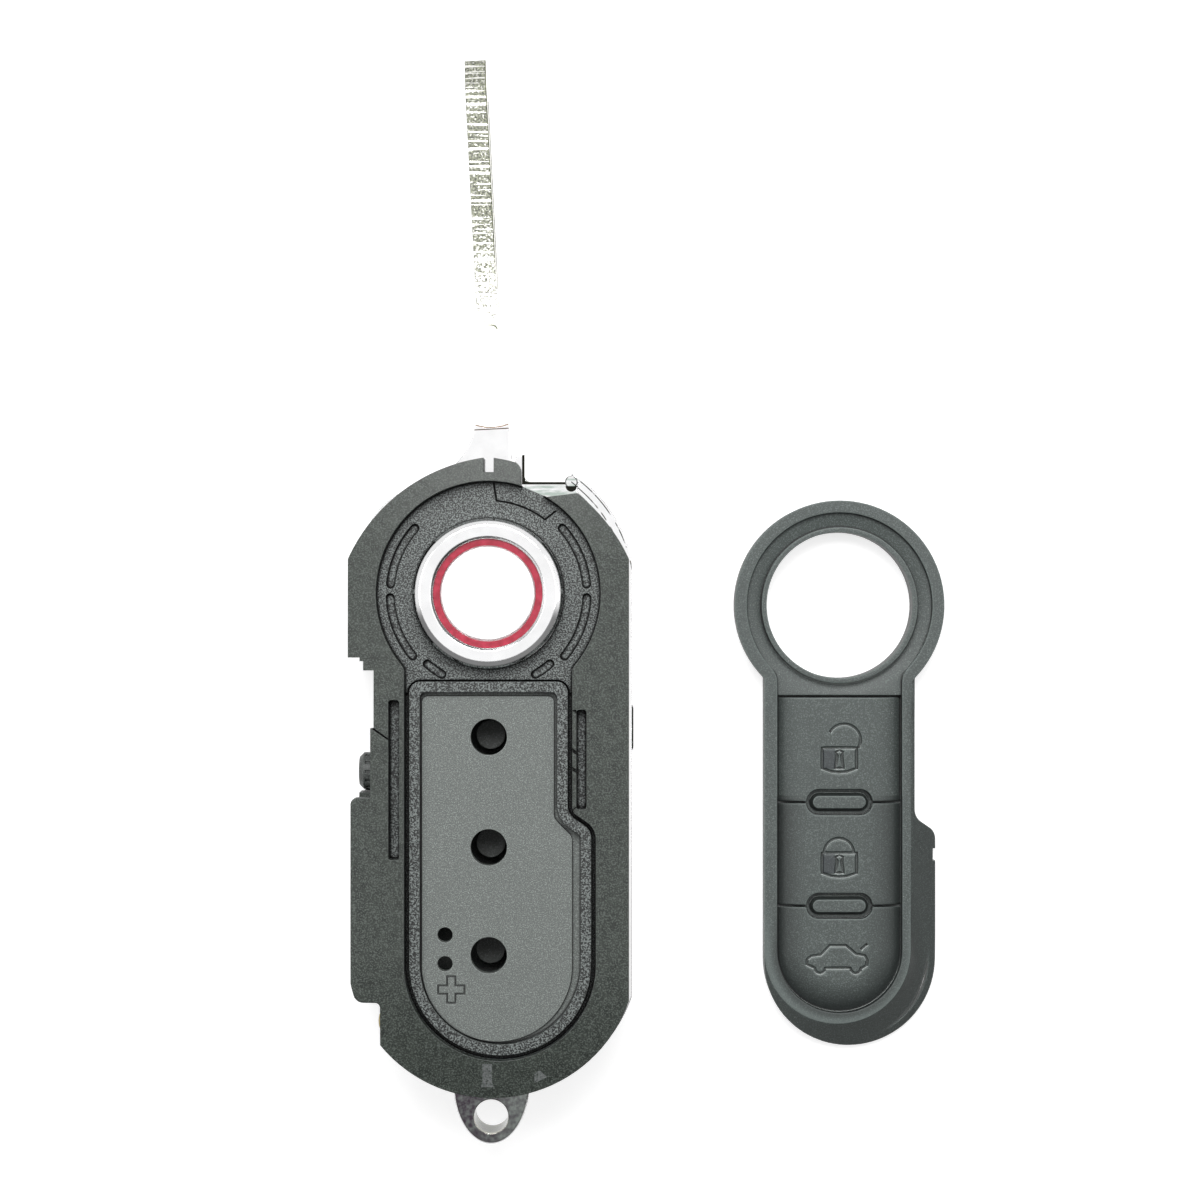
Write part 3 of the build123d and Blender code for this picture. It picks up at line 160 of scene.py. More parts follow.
# The top and the foot of the body of the open padlock and of the shut one
LOCK_FIELDS = ((-16.25, -19.05), (-28.2, -30.95))
OPEN_SHACKLE_R = 1.85
SHACKLE_R = 1.65
WHEEL_XS = (1.85, -2.2)
WHEEL_R = 0.6

# The plus mark on the switch plate, in millimetres
PLUS_X = -4.09
PLUS_Y = -43.32
PLUS_ARM = 1.44
PLUS_HALF_W = 0.45
PLUS_R = 0.16
PLUS_STEP = 1.0

SHARP_ANGLE = math.radians(28)
WELD = 0.001 * MM


def add_object(name, data):
    """A new object in the scene."""
    made = bpy.data.objects.new(name, data)
    bpy.context.scene.collection.objects.link(made)
    return made


def add_camera():
    """A camera that looks straight down on the fob, as the photograph does."""
    data = bpy.data.cameras.new("camera")
    data.sensor_width = SENSOR
    data.lens = SENSOR * CAMERA_HEIGHT / FRAME_WIDTH
    data.clip_start = NEAR_CLIP
    camera = add_object("camera", data)
    camera.location = (VIEW_X, VIEW_Y, RIM_Z + CAMERA_HEIGHT)
    bpy.context.scene.camera = camera


def add_softbox(name, place, width, power):
    """A square area lamp aimed at the middle of the fob."""
    data = bpy.data.lights.new(name, "AREA")
    data.energy = power
    data.size = width
    lamp = add_object(name, data)
    lamp.location = place
    aim = Vector((VIEW_X, 0, 0)) - Vector(place)
    lamp.rotation_mode = "QUATERNION"
    lamp.rotation_quaternion = aim.to_track_quat("-Z", "Y")


def light_world():
    """A plain soft world that shows white to the camera and, darker at its foot, in reflections."""
    world = bpy.data.worlds.new("studio")
    bpy.context.scene.world = world
    world.use_nodes = True
    nodes = world.node_tree.nodes
    links = world.node_tree.links
    nodes.clear()

    def background(strength):
        node = nodes.new("ShaderNodeBackground")
        node.inputs["Color"].default_value = (1, 1, 1, 1)
        node.inputs["Strength"].default_value = strength
        return node

    def rise(value, start, end, low):
        """A smooth rise from a low level at the start to 1 at the end."""
        node = nodes.new("ShaderNodeMapRange")
        node.interpolation_type = "SMOOTHSTEP"
        links.new(value, node.inputs["Value"])
        node.inputs["From Min"].default_value = start
        node.inputs["From Max"].default_value = end
        node.inputs["To Min"].default_value = low
        node.inputs["To Max"].default_value = 1.0
        return node.outputs[0]

    def choose(factor, a, b):
        node = nodes.new("ShaderNodeMixShader")
        links.new(factor, node.inputs[0])
        links.new(a.outputs[0], node.inputs[1])
        links.new(b.outputs[0], node.inputs[2])
        return node

    plain = background(SKY_LEVEL)
    shown = background(1.0)
    mirrored = background(1.0)
    way = nodes.new("ShaderNodeSeparateXYZ")
    links.new(nodes.new("ShaderNodeTexCoord").outputs["Generated"], way.inputs[0])
    level = nodes.new("ShaderNodeMath")
    level.operation = "MULTIPLY"
    links.new(rise(way.outputs["Y"], -0.30, -0.08, 0.25), level.inputs[0])
    links.new(rise(way.outputs["Z"], 0.0, 0.75, 0.15), level.inputs[1])
    links.new(level.outputs[0], mirrored.inputs["Strength"])
    path = nodes.new("ShaderNodeLightPath")
    seen = choose(path.outputs["Is Glossy Ray"], plain, mirrored)
    seen = choose(path.outputs["Is Camera Ray"], seen, shown)
    out = nodes.new("ShaderNodeOutputWorld")
    links.new(seen.outputs[0], out.inputs["Surface"])


def add_floor():
    """The white sheet that the fob lies on, which keeps its shadow."""
    half = FLOOR_HALF
    corners = [(-half, -half, 0), (half, -half, 0), (half, half, 0), (-half, half, 0)]
    mesh = bpy.data.meshes.new("floor")
    mesh.from_pydata(corners, [], [(0, 1, 2, 3)])
    floor = add_object("floor", mesh)
    floor.location.z = -FLOOR_DROP
    material = bpy.data.materials.new("white_sheet")
    material.use_nodes = True
    nodes = material.node_tree.nodes
    links = material.node_tree.links
    nodes.clear()
    path = nodes.new("ShaderNodeLightPath")
    seen = nodes.new("ShaderNodeMath")
    seen.operation = "MAXIMUM"
    links.new(path.outputs["Is Camera Ray"], seen.inputs[0])
    links.new(path.outputs["Is Glossy Ray"], seen.inputs[1])
    scaled = nodes.new("ShaderNodeMath")
    scaled.operation = "MULTIPLY"
    links.new(seen.outputs[0], scaled.inputs[0])
    scaled.inputs[1].default_value = FLOOR_GLOW
    glow = nodes.new("ShaderNodeEmission")
    glow.inputs["Color"].default_value = (1, 1, 1, 1)
    links.new(scaled.outputs[0], glow.inputs["Strength"])
    diffuse = nodes.new("ShaderNodeBsdfDiffuse")
    diffuse.inputs["Color"].default_value = (FLOOR_GREY, FLOOR_GREY, FLOOR_GREY, 1)
    both = nodes.new("ShaderNodeAddShader")
    links.new(diffuse.outputs[0], both.inputs[0])
    links.new(glow.outputs[0], both.inputs[1])
    out = nodes.new("ShaderNodeOutputMaterial")
    links.new(both.outputs[0], out.inputs["Surface"])
    mesh.materials.append(material)


class Surface:
    """A node material under construction, with short calls for the nodes it is made of."""

    def __init__(self, name):
        self.name = name
        self.material = bpy.data.materials.new(name + "_finish")
        self.material.use_nodes = True
        self.nodes = self.material.node_tree.nodes
        self.links = self.material.node_tree.links
        self.nodes.clear()
        self.shader = self.nodes.new("ShaderNodeBsdfPrincipled")
        out = self.nodes.new("ShaderNodeOutputMaterial")
        self.links.new(self.shader.outputs[0], out.inputs["Surface"])
        self.place = self.nodes.new("ShaderNodeTexCoord").outputs["Object"]

    def feed(self, socket, value):
        """Links an output to a socket, or sets the socket to a number or a colour."""
        if isinstance(value, (int, float)):
            socket.default_value = value
        elif isinstance(value, tuple):
            socket.default_value = (*value, 1)
        else:
            self.links.new(value, socket)

    def set(self, **values):
        """Numbers, colours or outputs for the shader's own sockets."""
        for name, value in values.items():
            self.feed(self.shader.inputs[name.replace("_", " ")], value)

    def math(self, operation, a, b=0.0):
        node = self.nodes.new("ShaderNodeMath")
        node.operation = operation
        self.feed(node.inputs[0], a)
        self.feed(node.inputs[1], b)
        return node.outputs[0]

    def add(self, a, b):
        return self.math("ADD", a, b)

    def less(self, a, b):
        """The first value less the second."""
        return self.math("SUBTRACT", a, b)

    def over(self, value, bound):
        """1 where a value is greater than a bound."""
        return self.math("GREATER_THAN", value, bound)

    def under(self, value, bound):
        """1 where a value is smaller than a bound."""
        return self.math("LESS_THAN", value, bound)

    def within(self, value, low, high):
        """1 where a value lies between two bounds."""
        return self.all_of(self.over(value, low), self.under(value, high))

    def all_of(self, *values):
        """The product of several masks."""
        product = values[0]
        for value in values[1:]:
            product = self.math("MULTIPLY", product, value)
        return product

    def any_of(self, *values):
        """The greatest of several masks."""
        greatest = values[0]
        for value in values[1:]:
            greatest = self.math("MAXIMUM", greatest, value)
        return greatest

    def line(self, value, base, slope):
        """The base plus the slope times a value."""
        return self.add(self.all_of(value, slope), base)

    def limits(self, value, low, high):
        """A value between two limits, brought to 0..1. The first limit may be the greater one."""
        node = self.nodes.new("ShaderNodeMapRange")
        self.feed(node.inputs["Value"], value)
        node.inputs["From Min"].default_value = low
        node.inputs["From Max"].default_value = high
        return node.outputs[0]

    def axes(self):
        """The coordinates of a point in the object's own frame, in metres."""
        node = self.nodes.new("ShaderNodeSeparateXYZ")
        self.links.new(self.place, node.inputs[0])
        return node.outputs

    def distance(self, x, y, centre_x=0.0, centre_y=0.0):
        """The distance of a point in plan from a centre in metres."""
        dx = self.less(x, centre_x)
        dy = self.less(y, centre_y)
        return self.math("SQRT", self.add(self.all_of(dx, dx), self.all_of(dy, dy)))

    def facing(self, axis, side="Normal"):
        """A component of the surface's normal."""
        geometry = self.nodes.new("ShaderNodeNewGeometry")
        node = self.nodes.new("ShaderNodeSeparateXYZ")
        self.links.new(geometry.outputs[side], node.inputs[0])
        return node.outputs[axis]

    def levelness(self, low=0.6, high=0.9, side="True Normal"):
        """How far a face looks up or down, from 0 for an upright one to 1 for a level one."""
        return self.limits(self.math("ABSOLUTE", self.facing("Z", side)), low, high)

    def rounded(self, radius):
        """A normal that rounds every edge by a radius in millimetres."""
        bevel = self.nodes.new("ShaderNodeBevel")
        bevel.samples = 6
        bevel.inputs["Radius"].default_value = radius * MM
        return bevel.outputs[0]

    def nearness(self, rounded):
        """How near a point is to an edge that a normal rounds, from 0 to 1."""
        geometry = self.nodes.new("ShaderNodeNewGeometry")
        dot = self.nodes.new("ShaderNodeVectorMath")
        dot.operation = "DOT_PRODUCT"
        self.links.new(rounded, dot.inputs[0])
        self.links.new(geometry.outputs["Normal"], dot.inputs[1])
        return self.limits(self.less(1.0, dot.outputs["Value"]), 0.0, 0.12)

    def hollows(self, reach, low, high):
        """How far a point is shut in by walls within a reach in millimetres, from 0 to 1."""
        around = self.nodes.new("ShaderNodeAmbientOcclusion")
        around.samples = 10
        around.inputs["Distance"].default_value = reach * MM
        return self.limits(self.less(1.0, around.outputs["AO"]), low, high)

    def noise(self, size, detail=3.0, stretch=(1, 1, 1)):
        """Noise with features of a size in millimetres."""
        node = self.nodes.new("ShaderNodeTexNoise")
        node.inputs["Scale"].default_value = 1 / (size * MM)
        node.inputs["Detail"].default_value = detail
        mapping = self.nodes.new("ShaderNodeMapping")
        mapping.inputs["Scale"].default_value = stretch
        self.links.new(self.place, mapping.inputs["Vector"])
        self.links.new(mapping.outputs[0], node.inputs["Vector"])
        return node.outputs["Fac"]

    def mix(self, factor, a, b):
        """A colour that goes from one to another as a factor goes from 0 to 1."""
        node = self.nodes.new("ShaderNodeMix")
        node.data_type = "RGBA"
        self.feed(node.inputs["Factor"], factor)
        self.feed(node.inputs[6], a)
        self.feed(node.inputs[7], b)
        return node.outputs[2]

    def ramp(self, value, stops):
        """A colour ramp through (position, colour) stops."""
        node = self.nodes.new("ShaderNodeValToRGB")
        elements = node.color_ramp.elements
        while len(elements) < len(stops):
            elements.new(0.5)
        for element, (position, colour) in zip(elements, stops):
            element.position = position
            element.color = (*colour, 1)
        self.links.new(value, node.inputs[0])
        return node.outputs[0]

    def tint(self, mask, colour):
        """Lays a colour over the base colour as far as a mask goes."""
        below = self.shader.inputs["Base Color"].links[0].from_socket
        self.set(Base_Color=self.mix(mask, below, colour))

    def bump(self, height, depth, normal):
        """Bumps of a depth in millimetres, over another normal."""
        node = self.nodes.new("ShaderNodeBump")
        node.inputs["Distance"].default_value = depth * MM
        node.inputs["Strength"].default_value = 1.0
        self.links.new(height, node.inputs["Height"])
        self.links.new(normal, node.inputs["Normal"])
        self.set(Normal=node.outputs[0])


def times(colour, factor):
    """A lighter or darker shade of a colour."""
    return tuple(factor * c for c in colour)


def moulded(name, dark, light, grain, depth, edge, shut, specks=0.0, radius=0.12):
    """Moulded plastic or rubber: grain, mottling, a painted highlight along its edges, pale specks
    and painted shade, black, in its hollows.
    """
    s = Surface(name)
    normal = s.rounded(radius)
    fine = s.noise(grain)
    colour = s.mix(s.limits(s.noise(4.0), 0.3, 0.7), dark, light)
    colour = s.mix(s.limits(fine, 0.46, 0.66), times(light, 0.62), colour)
    colour = s.mix(s.all_of(s.limits(fine, 0.52, 0.72), 0.7), colour, times(light, 1.9))
    # Painted highlight: a paler colour along every edge that the rounded normal finds.
    colour = s.mix(s.all_of(s.nearness(normal), edge), colour, times(light, 3.0))
    if specks:
        dust = s.limits(s.noise(0.3, 1.0), 0.80 - specks, 0.82 - specks)
        colour = s.mix(s.all_of(dust, 0.6), colour, (0.45, 0.47, 0.46))
    # Painted shade: black where walls shut a point in, in hollows, grooves and at the feet of
    # walls.
    s.shut = s.hollows(*shut)
    s.set(
        Base_Color=s.mix(s.shut, colour, (0.002, 0.002, 0.002)),
        Roughness=s.line(fine, 0.44, 0.12),
    )
    s.bump(fine, depth, normal)
    return s


def keypad_rubber():
    """Matt rubber with painted shade where it slopes, over the pillow's edges and in the trough at
    its foot, painted highlights on the crest at its foot and on the upward walls of its grooves,
    and a dark bluish field at the left of each padlock's body.
    """
    plain, pale = (0.066, 0.081, 0.077), (0.087, 0.104, 0.099)
    s = moulded("rubber", plain, pale, 0.14, 0.026, 0.5, (0.3, 0.04, 0.34), 0.015, 0.3)
    x, y, _ = s.axes()
    past_x = s.less(x, PAD_X * MM)
    past_y = s.math("MINIMUM", s.less(y, (PAD_Y + PAD_FOOT_Y) * MM), 0.0)
    off = s.distance(x, past_y, PAD_X * MM)
    foot = s.limits(y, (PAD_Y + PAD_FOOT_Y + FOOT_FADE) * MM, (PAD_Y + PAD_FOOT_Y) * MM)
    lean = s.limits(s.math("DIVIDE", s.add(past_x, s.all_of(past_y, 1.3)), off), 1.1, -1.0)

    # Painted shade where the rubber slopes, lighter at the left of its foot.
    left_foot = s.all_of(s.limits(s.math("DIVIDE", past_x, off), 0.0, -0.8), foot)
    slope = s.less(1.0, s.levelness(0.76, 0.985, "Normal"))
    s.tint(s.all_of(slope, s.line(left_foot, 0.75, -0.4)), (0.012, 0.015, 0.014))

    # Painted shade over the pillow's rolled edges, heaviest towards its left and its foot.
    pillow = s.all_of(s.under(off, PILLOW_EDGE * MM), s.under(y, (PAD_Y + PILLOW_TOP_Y) * MM))
    rolled = s.limits(off, PILLOW_LEVEL_X * MM, PILLOW_EDGE * MM)
    s.tint(s.all_of(rolled, pillow, s.line(lean, 0.15, 0.6)), (0.010, 0.012, 0.012))
    # Painted shade over the pillow's right side.
    right = s.limits(x, (PAD_X + PILLOW_LEVEL_X - 1.0) * MM, (PAD_X + PILLOW_EDGE) * MM)
    s.tint(s.all_of(right, pillow, 0.75), (0.020, 0.025, 0.024))

    # Painted highlight on the level top of the crest round the foot.
    inner = s.limits(off, CREST_IN * MM, (CREST_IN + 1.0) * MM)
    outer = s.limits(off, (CREST_OUT + 0.5) * MM, (CREST_OUT - 0.4) * MM)
    level = s.levelness(0.9, 0.99, "Normal")
    s.tint(s.all_of(inner, outer, level, foot, 0.5), (0.150, 0.180, 0.172))
    # Painted shade in the dip between the pillow and the crest round the foot.
    trough = s.limits(off, (CREST_IN + 0.8) * MM, CREST_IN * MM)
    trough = s.all_of(trough, s.over(off, PILLOW_EDGE * MM), foot, s.line(lean, 0.2, 0.5))
    s.tint(trough, (0.018, 0.022, 0.021))

    # Painted highlight on the walls of creases, pockets and symbol grooves that face the top of the
    # pad.
    lit = s.all_of(s.limits(s.shut, 0.05, 0.4), s.limits(s.facing("Y"), 0.10, 0.35))
    s.tint(lit, (0.40, 0.44, 0.425))
    left = s.within(x, (PAD_X - LOCK_HALF_W + 0.1) * MM, (PAD_X - 0.5) * MM)
    locks = s.any_of(*[
        s.within(y, (PAD_Y + low + 0.45) * MM, (PAD_Y + top - 0.1) * MM)
        for top, low in LOCK_FIELDS
    ])
    s.tint(s.all_of(left, locks, 0.55), (0.012, 0.014, 0.022))
    return s


def case_plastic():
    """The case's black: smooth and faintly cloudy on the rim, coarse and paler on the sunk face,
    with a painted highlight along its edges and painted shade in its hollows.
    """
    s = Surface("black_plastic")
    normal = s.rounded(0.12)
    x, y, z = s.axes()
    past_y = s.less(y, s.math("MINIMUM", s.math("MAXIMUM", y, SUNK_FOOT_Y), 0.0))
    sunk = s.all_of(s.under(s.distance(x, past_y), SUNK_R), s.within(z, SUNK_LOW_Z, SUNK_TOP_Z))
    fine = s.noise(0.17)
    coarse = s.noise(0.16)
    cloud = s.limits(s.noise(1.1, 4.0), 0.35, 0.65)
    rim = s.mix(cloud, (0.007, 0.011, 0.008), (0.025, 0.032, 0.026))
    rim = s.mix(s.all_of(s.limits(fine, 0.48, 0.62), 0.8), rim, (0.092, 0.108, 0.096))
    face = s.mix(s.limits(coarse, 0.46, 0.60), (0.003, 0.004, 0.0035), (0.190, 0.212, 0.206))
    colour = s.mix(sunk, rim, face)
    # Painted highlight: a paler line along every edge that the rounded normal finds.
    colour = s.mix(s.all_of(s.nearness(normal), 0.6), colour, (0.10, 0.11, 0.105))
    # Painted shade: black and less glossy in hollows and at the feet of walls.
    outline = s.hollows(0.45, 0.12, 0.32)
    grain = s.add(s.all_of(fine, s.less(1.0, sunk), 0.9), s.all_of(coarse, sunk, 1.3))
    s.set(
        Base_Color=s.mix(outline, colour, (0.001, 0.001, 0.001)),
        Specular_IOR_Level=s.line(outline, 0.5, -0.42),
        Roughness=s.line(fine, 0.33, 0.24),
    )
    s.bump(grain, 0.03, normal)
    gate_marks(s, x, y, z)
    return s


def gate_marks(s, x, y, z):
    """Two grey gate marks in the rim at the foot: a flared one and a small three-cornered one."""
    half_w = s.line(s.limits(y, GATE_FLARE_Y, GATE_END_Y), GATE_HALF_W, GATE_FLARE)
    off = s.math("ABSOLUTE", s.less(x, GATE_X))
    flared = s.all_of(s.under(off, half_w), s.within(y, GATE_END_Y, GATE_TOP_Y))

    def side_y(slope, past_x, past_y):
        """The height of a slanting side at this x."""
        return s.line(s.less(x, past_x), past_y, slope)

    corner = s.all_of(
        s.over(x, CORNER_MARK_X),
        s.under(y, CORNER_MARK_Y),
        *[s.under(y, side_y(*side)) for side in CORNER_MARK_UPPER],
        s.over(y, side_y(*CORNER_MARK_LOWER)),
    )
    mask = s.all_of(s.any_of(flared, corner), s.over(z, GATE_LOW_Z))
    s.tint(s.all_of(mask, s.limits(s.noise(0.2), 0.3, 0.6)), (0.15, 0.16, 0.16))


def metal(name, colour, rough, smear, radius):
    """Plated or drawn metal with faint smears in its gloss."""
    s = Surface(name)
    s.soft_normal = s.rounded(radius)
    cloud = s.noise(2.5)
    s.set(
        Metallic=1.0,
        Base_Color=s.mix(s.limits(cloud, 0.35, 0.65), times(colour, 0.93), colour),
        Roughness=s.line(cloud, rough, smear),
    )
    s.bump(s.noise(0.2, 2.0), 0.001, s.soft_normal)
    return s


def blade_steel():
    """Key blade steel, its narrow faces cross-milled and stained dark on the outer half."""
    s = Surface("blade_steel")
    normal = s.rounded(0.12)
    x, y, _ = s.axes()
    flat = s.levelness(0.3, 0.5)
    milled = s.less(1.0, s.limits(s.noise(0.38, stretch=(0.03, 1.0, 0.03)), 0.555, 0.585))
    fade = s.less(s.limits(y, MILL_START_Y, MILL_FULL_Y), 1.0)
    blotch = s.limits(s.add(s.noise(0.25), s.all_of(fade, 0.25)), 0.25, 0.47)
    bands = s.all_of(s.line(milled, 0.06, 0.85), blotch, s.over(y, MILL_START_Y))
    side = s.add(x, s.less(s.all_of(y, BLADE_LEAN), BLADE_MID_X))
    edge = s.all_of(s.over(side, BLADE_EDGE), s.limits(y, *EDGE_LINE_Y))
    mark = s.all_of(
        s.within(s.distance(x, y, MARK_X, MARK_Y), *MARK_RING),
        s.over(y, MARK_Y + MARK_CUT),
        s.limits(x, *MARK_FADE_X),
    )
    stain = s.all_of(s.any_of(bands, edge, mark), flat)
    # Painted dark reflection along the edges that the rounded normal finds.
    steel = s.mix(s.all_of(s.nearness(normal), 0.35), (0.95, 0.94, 0.90), (0.30, 0.29, 0.25))
    olive = s.mix(s.limits(s.noise(0.2), 0.40, 0.60), (0.018, 0.022, 0.012), (0.29, 0.31, 0.21))
    tip = s.limits(y, TIP_START_Y, TIP_START_Y + TIP_SPAN)
    dull = s.any_of(s.all_of(stain, 0.95), s.all_of(tip, flat, 0.8))
    s.set(
        Base_Color=s.mix(stain, steel, olive),
        Metallic=s.less(1.0, dull),
        Specular_IOR_Level=s.line(stain, 0.5, -0.4),
        Roughness=s.line(stain, 0.22, 0.3),
    )
    s.bump(stain, 0.03, normal)
    return s


def chrome_plate():
    """Bright chrome with painted dark reflections along its edges, dark lines, a painted greenish
    reflection on the shoulder, and painted reflections and highlights on the key-ring lug and its
    hole's wall.
    """
    s = metal("chrome_plate", (0.97, 0.97, 0.975), 0.05, 0.06, 0.16)
    near = s.nearness(s.soft_normal)
    x, y, z = s.axes()
    level = s.levelness()
    # Painted greenish reflection in patches over the shoulder's level top.
    shoulder = s.all_of(s.within(y, *SHOULDER_SPAN_Y), s.within(x, *SHOULDER_SPAN_X), level)
    shine = s.limits(s.noise(0.9, stretch=(0.35, 1.6, 1.0)), 0.42, 0.62)
    s.tint(s.all_of(shoulder, shine), (0.50, 0.58, 0.53))
    # Painted dark reflection along the edges that the rounded normal finds.
    s.tint(s.all_of(near, 0.65), (0.10, 0.095, 0.09))
    # Painted dark reflections and shade at the shoulder, horn and rib, with the real seams.
    s.tint(chrome_lines(s, x, y, z, level), (0.018, 0.018, 0.014))
    s.tint(s.all_of(mouth_lines(s, x, y), s.over(z, MOUTH_LOW_Z), level), (0.11, 0.060, 0.030))

    # Painted reflections on the lug's level faces: dark and light in patches, lighter to the right,
    # with a pale painted highlight along its edges.
    cloud = s.line(x, s.noise(0.5, 5.0), LUG_REFLECTION_RISE)
    painted_lug_reflection = s.mix(s.limits(cloud, 0.30, 0.74), (0.085, 0.068, 0.086), (0.30, 0.33, 0.31))
    painted_lug_reflection = s.mix(s.all_of(near, 0.6), painted_lug_reflection, (0.80, 0.77, 0.66))
    s.tint(s.all_of(s.under(y, LUG_START_Y), level), painted_lug_reflection)
    in_hole = s.under(s.distance(x, y, LUG_X, LUG_HOLE_Y), LUG_HOLE_R + LUG_HOLE_EDGE)
    wall = s.all_of(in_hole, s.less(1.0, level))
    # Painted light and shade on the hole's wall, from its foot up: a pale reflection, dark
    # grey-green, then a painted highlight at its top edge.
    painted_wall_light = [
        (0.0, (0.66, 0.67, 0.54)),
        (0.25, (0.30, 0.32, 0.24)),
        (0.8, (0.16, 0.17, 0.13)),
        (0.95, (0.55, 0.55, 0.44)),
    ]
    s.tint(wall, s.ramp(s.limits(z, *LUG_Z), painted_wall_light))
    s.set(Metallic=s.line(wall, 1.0, -0.9))
    return s


def chrome_lines(s, x, y, z, level):
    """Dark lines: painted dark reflections along the shoulder's upper edge and the horn's side,
    painted shade below and around the rib, and the seams, which are real dark joints.
    """
    below, above = SHOULDER_LINE
    along = s.all_of(
        s.within(y, SHOULDER_Y + below, SHOULDER_Y + above),
        s.within(x, HORN_IN_X, RIB_X - RIB_CLEAR),
    )
    horn = s.all_of(
        s.within(x, HORN_IN_X, HORN_IN_X + HORN_LINE_W),
        s.within(y, SHOULDER_Y - HORN_LINE_LAP, HORN_TOP_Y),
    )
    shade_y = SHOULDER_Y - RIB_SHADE_DOWN
    shade = s.all_of(s.under(s.distance(x, y, RIB_X, shade_y), RIB_SHADE_R), s.under(y, shade_y))
    ring = s.all_of(s.within(s.distance(x, y, RIB_X, SHOULDER_Y), *RIB_RING), 0.75)
    lines = s.all_of(s.any_of(along, horn, shade, ring), level)
    off = s.distance(x, y)
    seams = s.all_of(
        s.any_of(*[s.within(off, r - SEAM_HALF_W, r + SEAM_HALF_W) for r in SEAM_R]),
        s.over(x, RIB_X),
        s.over(y, 0.0),
        s.over(z, SEAM_LOW_Z),
        s.limits(s.noise(1.2), 0.42, 0.52),
        0.9,
    )
    return s.any_of(lines, seams)


def mouth_lines(s, x, y):
    """Two thin brown lines across the end of the holder's neck, one along its hollow edge."""
    past_x = s.less(x, MOUTH_X)
    past_y = s.less(y, MOUTH_Y)
    u = s.line(past_y, past_x, BLADE_LEAN)
    v = s.line(past_x, past_y, -BLADE_LEAN)
    from_arc = s.distance(u, v, 0.0, MOUTH_ARC_R - MOUTH_ARC_D)
    inner, outer = (MOUTH_ARC_R + past for past in MOUTH_ARC_LINE)
    return s.any_of(s.within(from_arc, inner, outer), s.within(v, *MOUTH_LINE_V))


def enamel():
    """Gloss red enamel, a little uneven."""
    s = Surface("red_enamel")
    cloud = s.noise(0.8)
    red = s.ramp(cloud, [(0.35, (0.32, 0.005, 0.026)), (0.65, (0.47, 0.018, 0.054))])
    s.set(Base_Color=red, Roughness=0.15, Coat_Weight=0.6)
    s.bump(cloud, 0.004, s.rounded(0.05))
    return s


def make_materials():
    """One material for each material slot of the record."""
    black, black_light = (0.075, 0.083, 0.078), (0.10, 0.11, 0.105)
    grey, grey_light = (0.158, 0.174, 0.166), (0.184, 0.203, 0.192)
    made = [
        case_plastic(),
        moulded("black_textured", black, black_light, 0.14, 0.02, 0.3, (0.4, 0.2, 0.9)),
        moulded("grey_plastic", grey, grey_light, 0.12, 0.02, 0.3, (0.3, 0.05, 0.4)),
        keypad_rubber(),
        chrome_plate(),
        metal("satin_silver", (0.94, 0.94, 0.94), 0.32, 0.1, 0.1),
        metal("spring_steel", (0.6, 0.6, 0.6), 0.28, 0.1, 0.05),
        metal("leaf_brass", (0.62, 0.52, 0.30), 0.3, 0.1, 0.05),
        blade_steel(),
        enamel(),
    ]
    return {s.name: s.material for s in made}


def dress(piece, slot):
    """Puts one material on a whole mesh."""
    piece.data.materials.clear()
    piece.data.materials.append(MATERIALS[slot])


def solid_copy(name, node):
    """A welded copy of a CAD node's mesh that can be cut."""
    mesh = NODES[node].data.copy()
    copy = add_object(name, mesh)
    if "custom_normal" in mesh.attributes:
        mesh.attributes.remove(mesh.attributes["custom_normal"])
    made = bmesh.new()
    made.from_mesh(mesh)
    bmesh.ops.remove_doubles(made, verts=made.verts, dist=WELD)
    made.to_mesh(mesh)
    made.free()
    return copy


def evaluated_mesh(piece):
    """The mesh of a piece with its modifiers or its curve's bevel applied."""
    bpy.context.view_layer.update()
    graph = bpy.context.evaluated_depsgraph_get()
    return bpy.data.meshes.new_from_object(piece.evaluated_get(graph))


def tube(name, points, radius, closed):
    """A round bar along a line of points in metres, as a mesh object."""
    curve = bpy.data.curves.new(name, "CURVE")
    curve.dimensions = "3D"
    curve.bevel_depth = radius
    curve.bevel_resolution = 1
    curve.use_fill_caps = True
    spline = curve.splines.new("POLY")
    spline.points.add(len(points) - 1)
    for point, co in zip(spline.points, points):
        point.co = (*co, 1)
    spline.use_cyclic_u = closed
    holder = add_object(name, curve)
    mesh = evaluated_mesh(holder)
    bpy.data.objects.remove(holder)
    return add_object(name, mesh)


def engrave(target, cutters):
    """Cuts each cutter out of the target and removes the cutters."""
    for cutter in cutters:
        cut = target.modifiers.new("cut", "BOOLEAN")
        cut.operation = "DIFFERENCE"
        cut.solver = "EXACT"
        cut.object = cutter
        mesh = evaluated_mesh(target)
        target.modifiers.remove(cut)
        target.data = mesh
        bpy.data.objects.remove(cutter)


def arc(x, y, r, start, end, step=15.0):
    """Points along an arc, angles in degrees."""
    count = max(2, math.ceil(abs(end - start) / step))
    turn = math.radians(end - start) / count
    angles = [math.radians(start) + turn * i for i in range(count + 1)]
    return [(x + r * math.cos(angle), y + r * math.sin(angle)) for angle in angles]


def spaced(points, closed, step):
    """The same line with no gap longer than a step."""
    ends = points[1:] + points[:1] if closed else points[1:]
    out = []
    for a, b in zip(points, ends):
        count = max(1, math.ceil(math.dist(a, b) / step))
        out += [tuple(p + (q - p) * i / count for p, q in zip(a, b)) for i in range(count)]
    if not closed:
        out.append(points[-1])
    return out


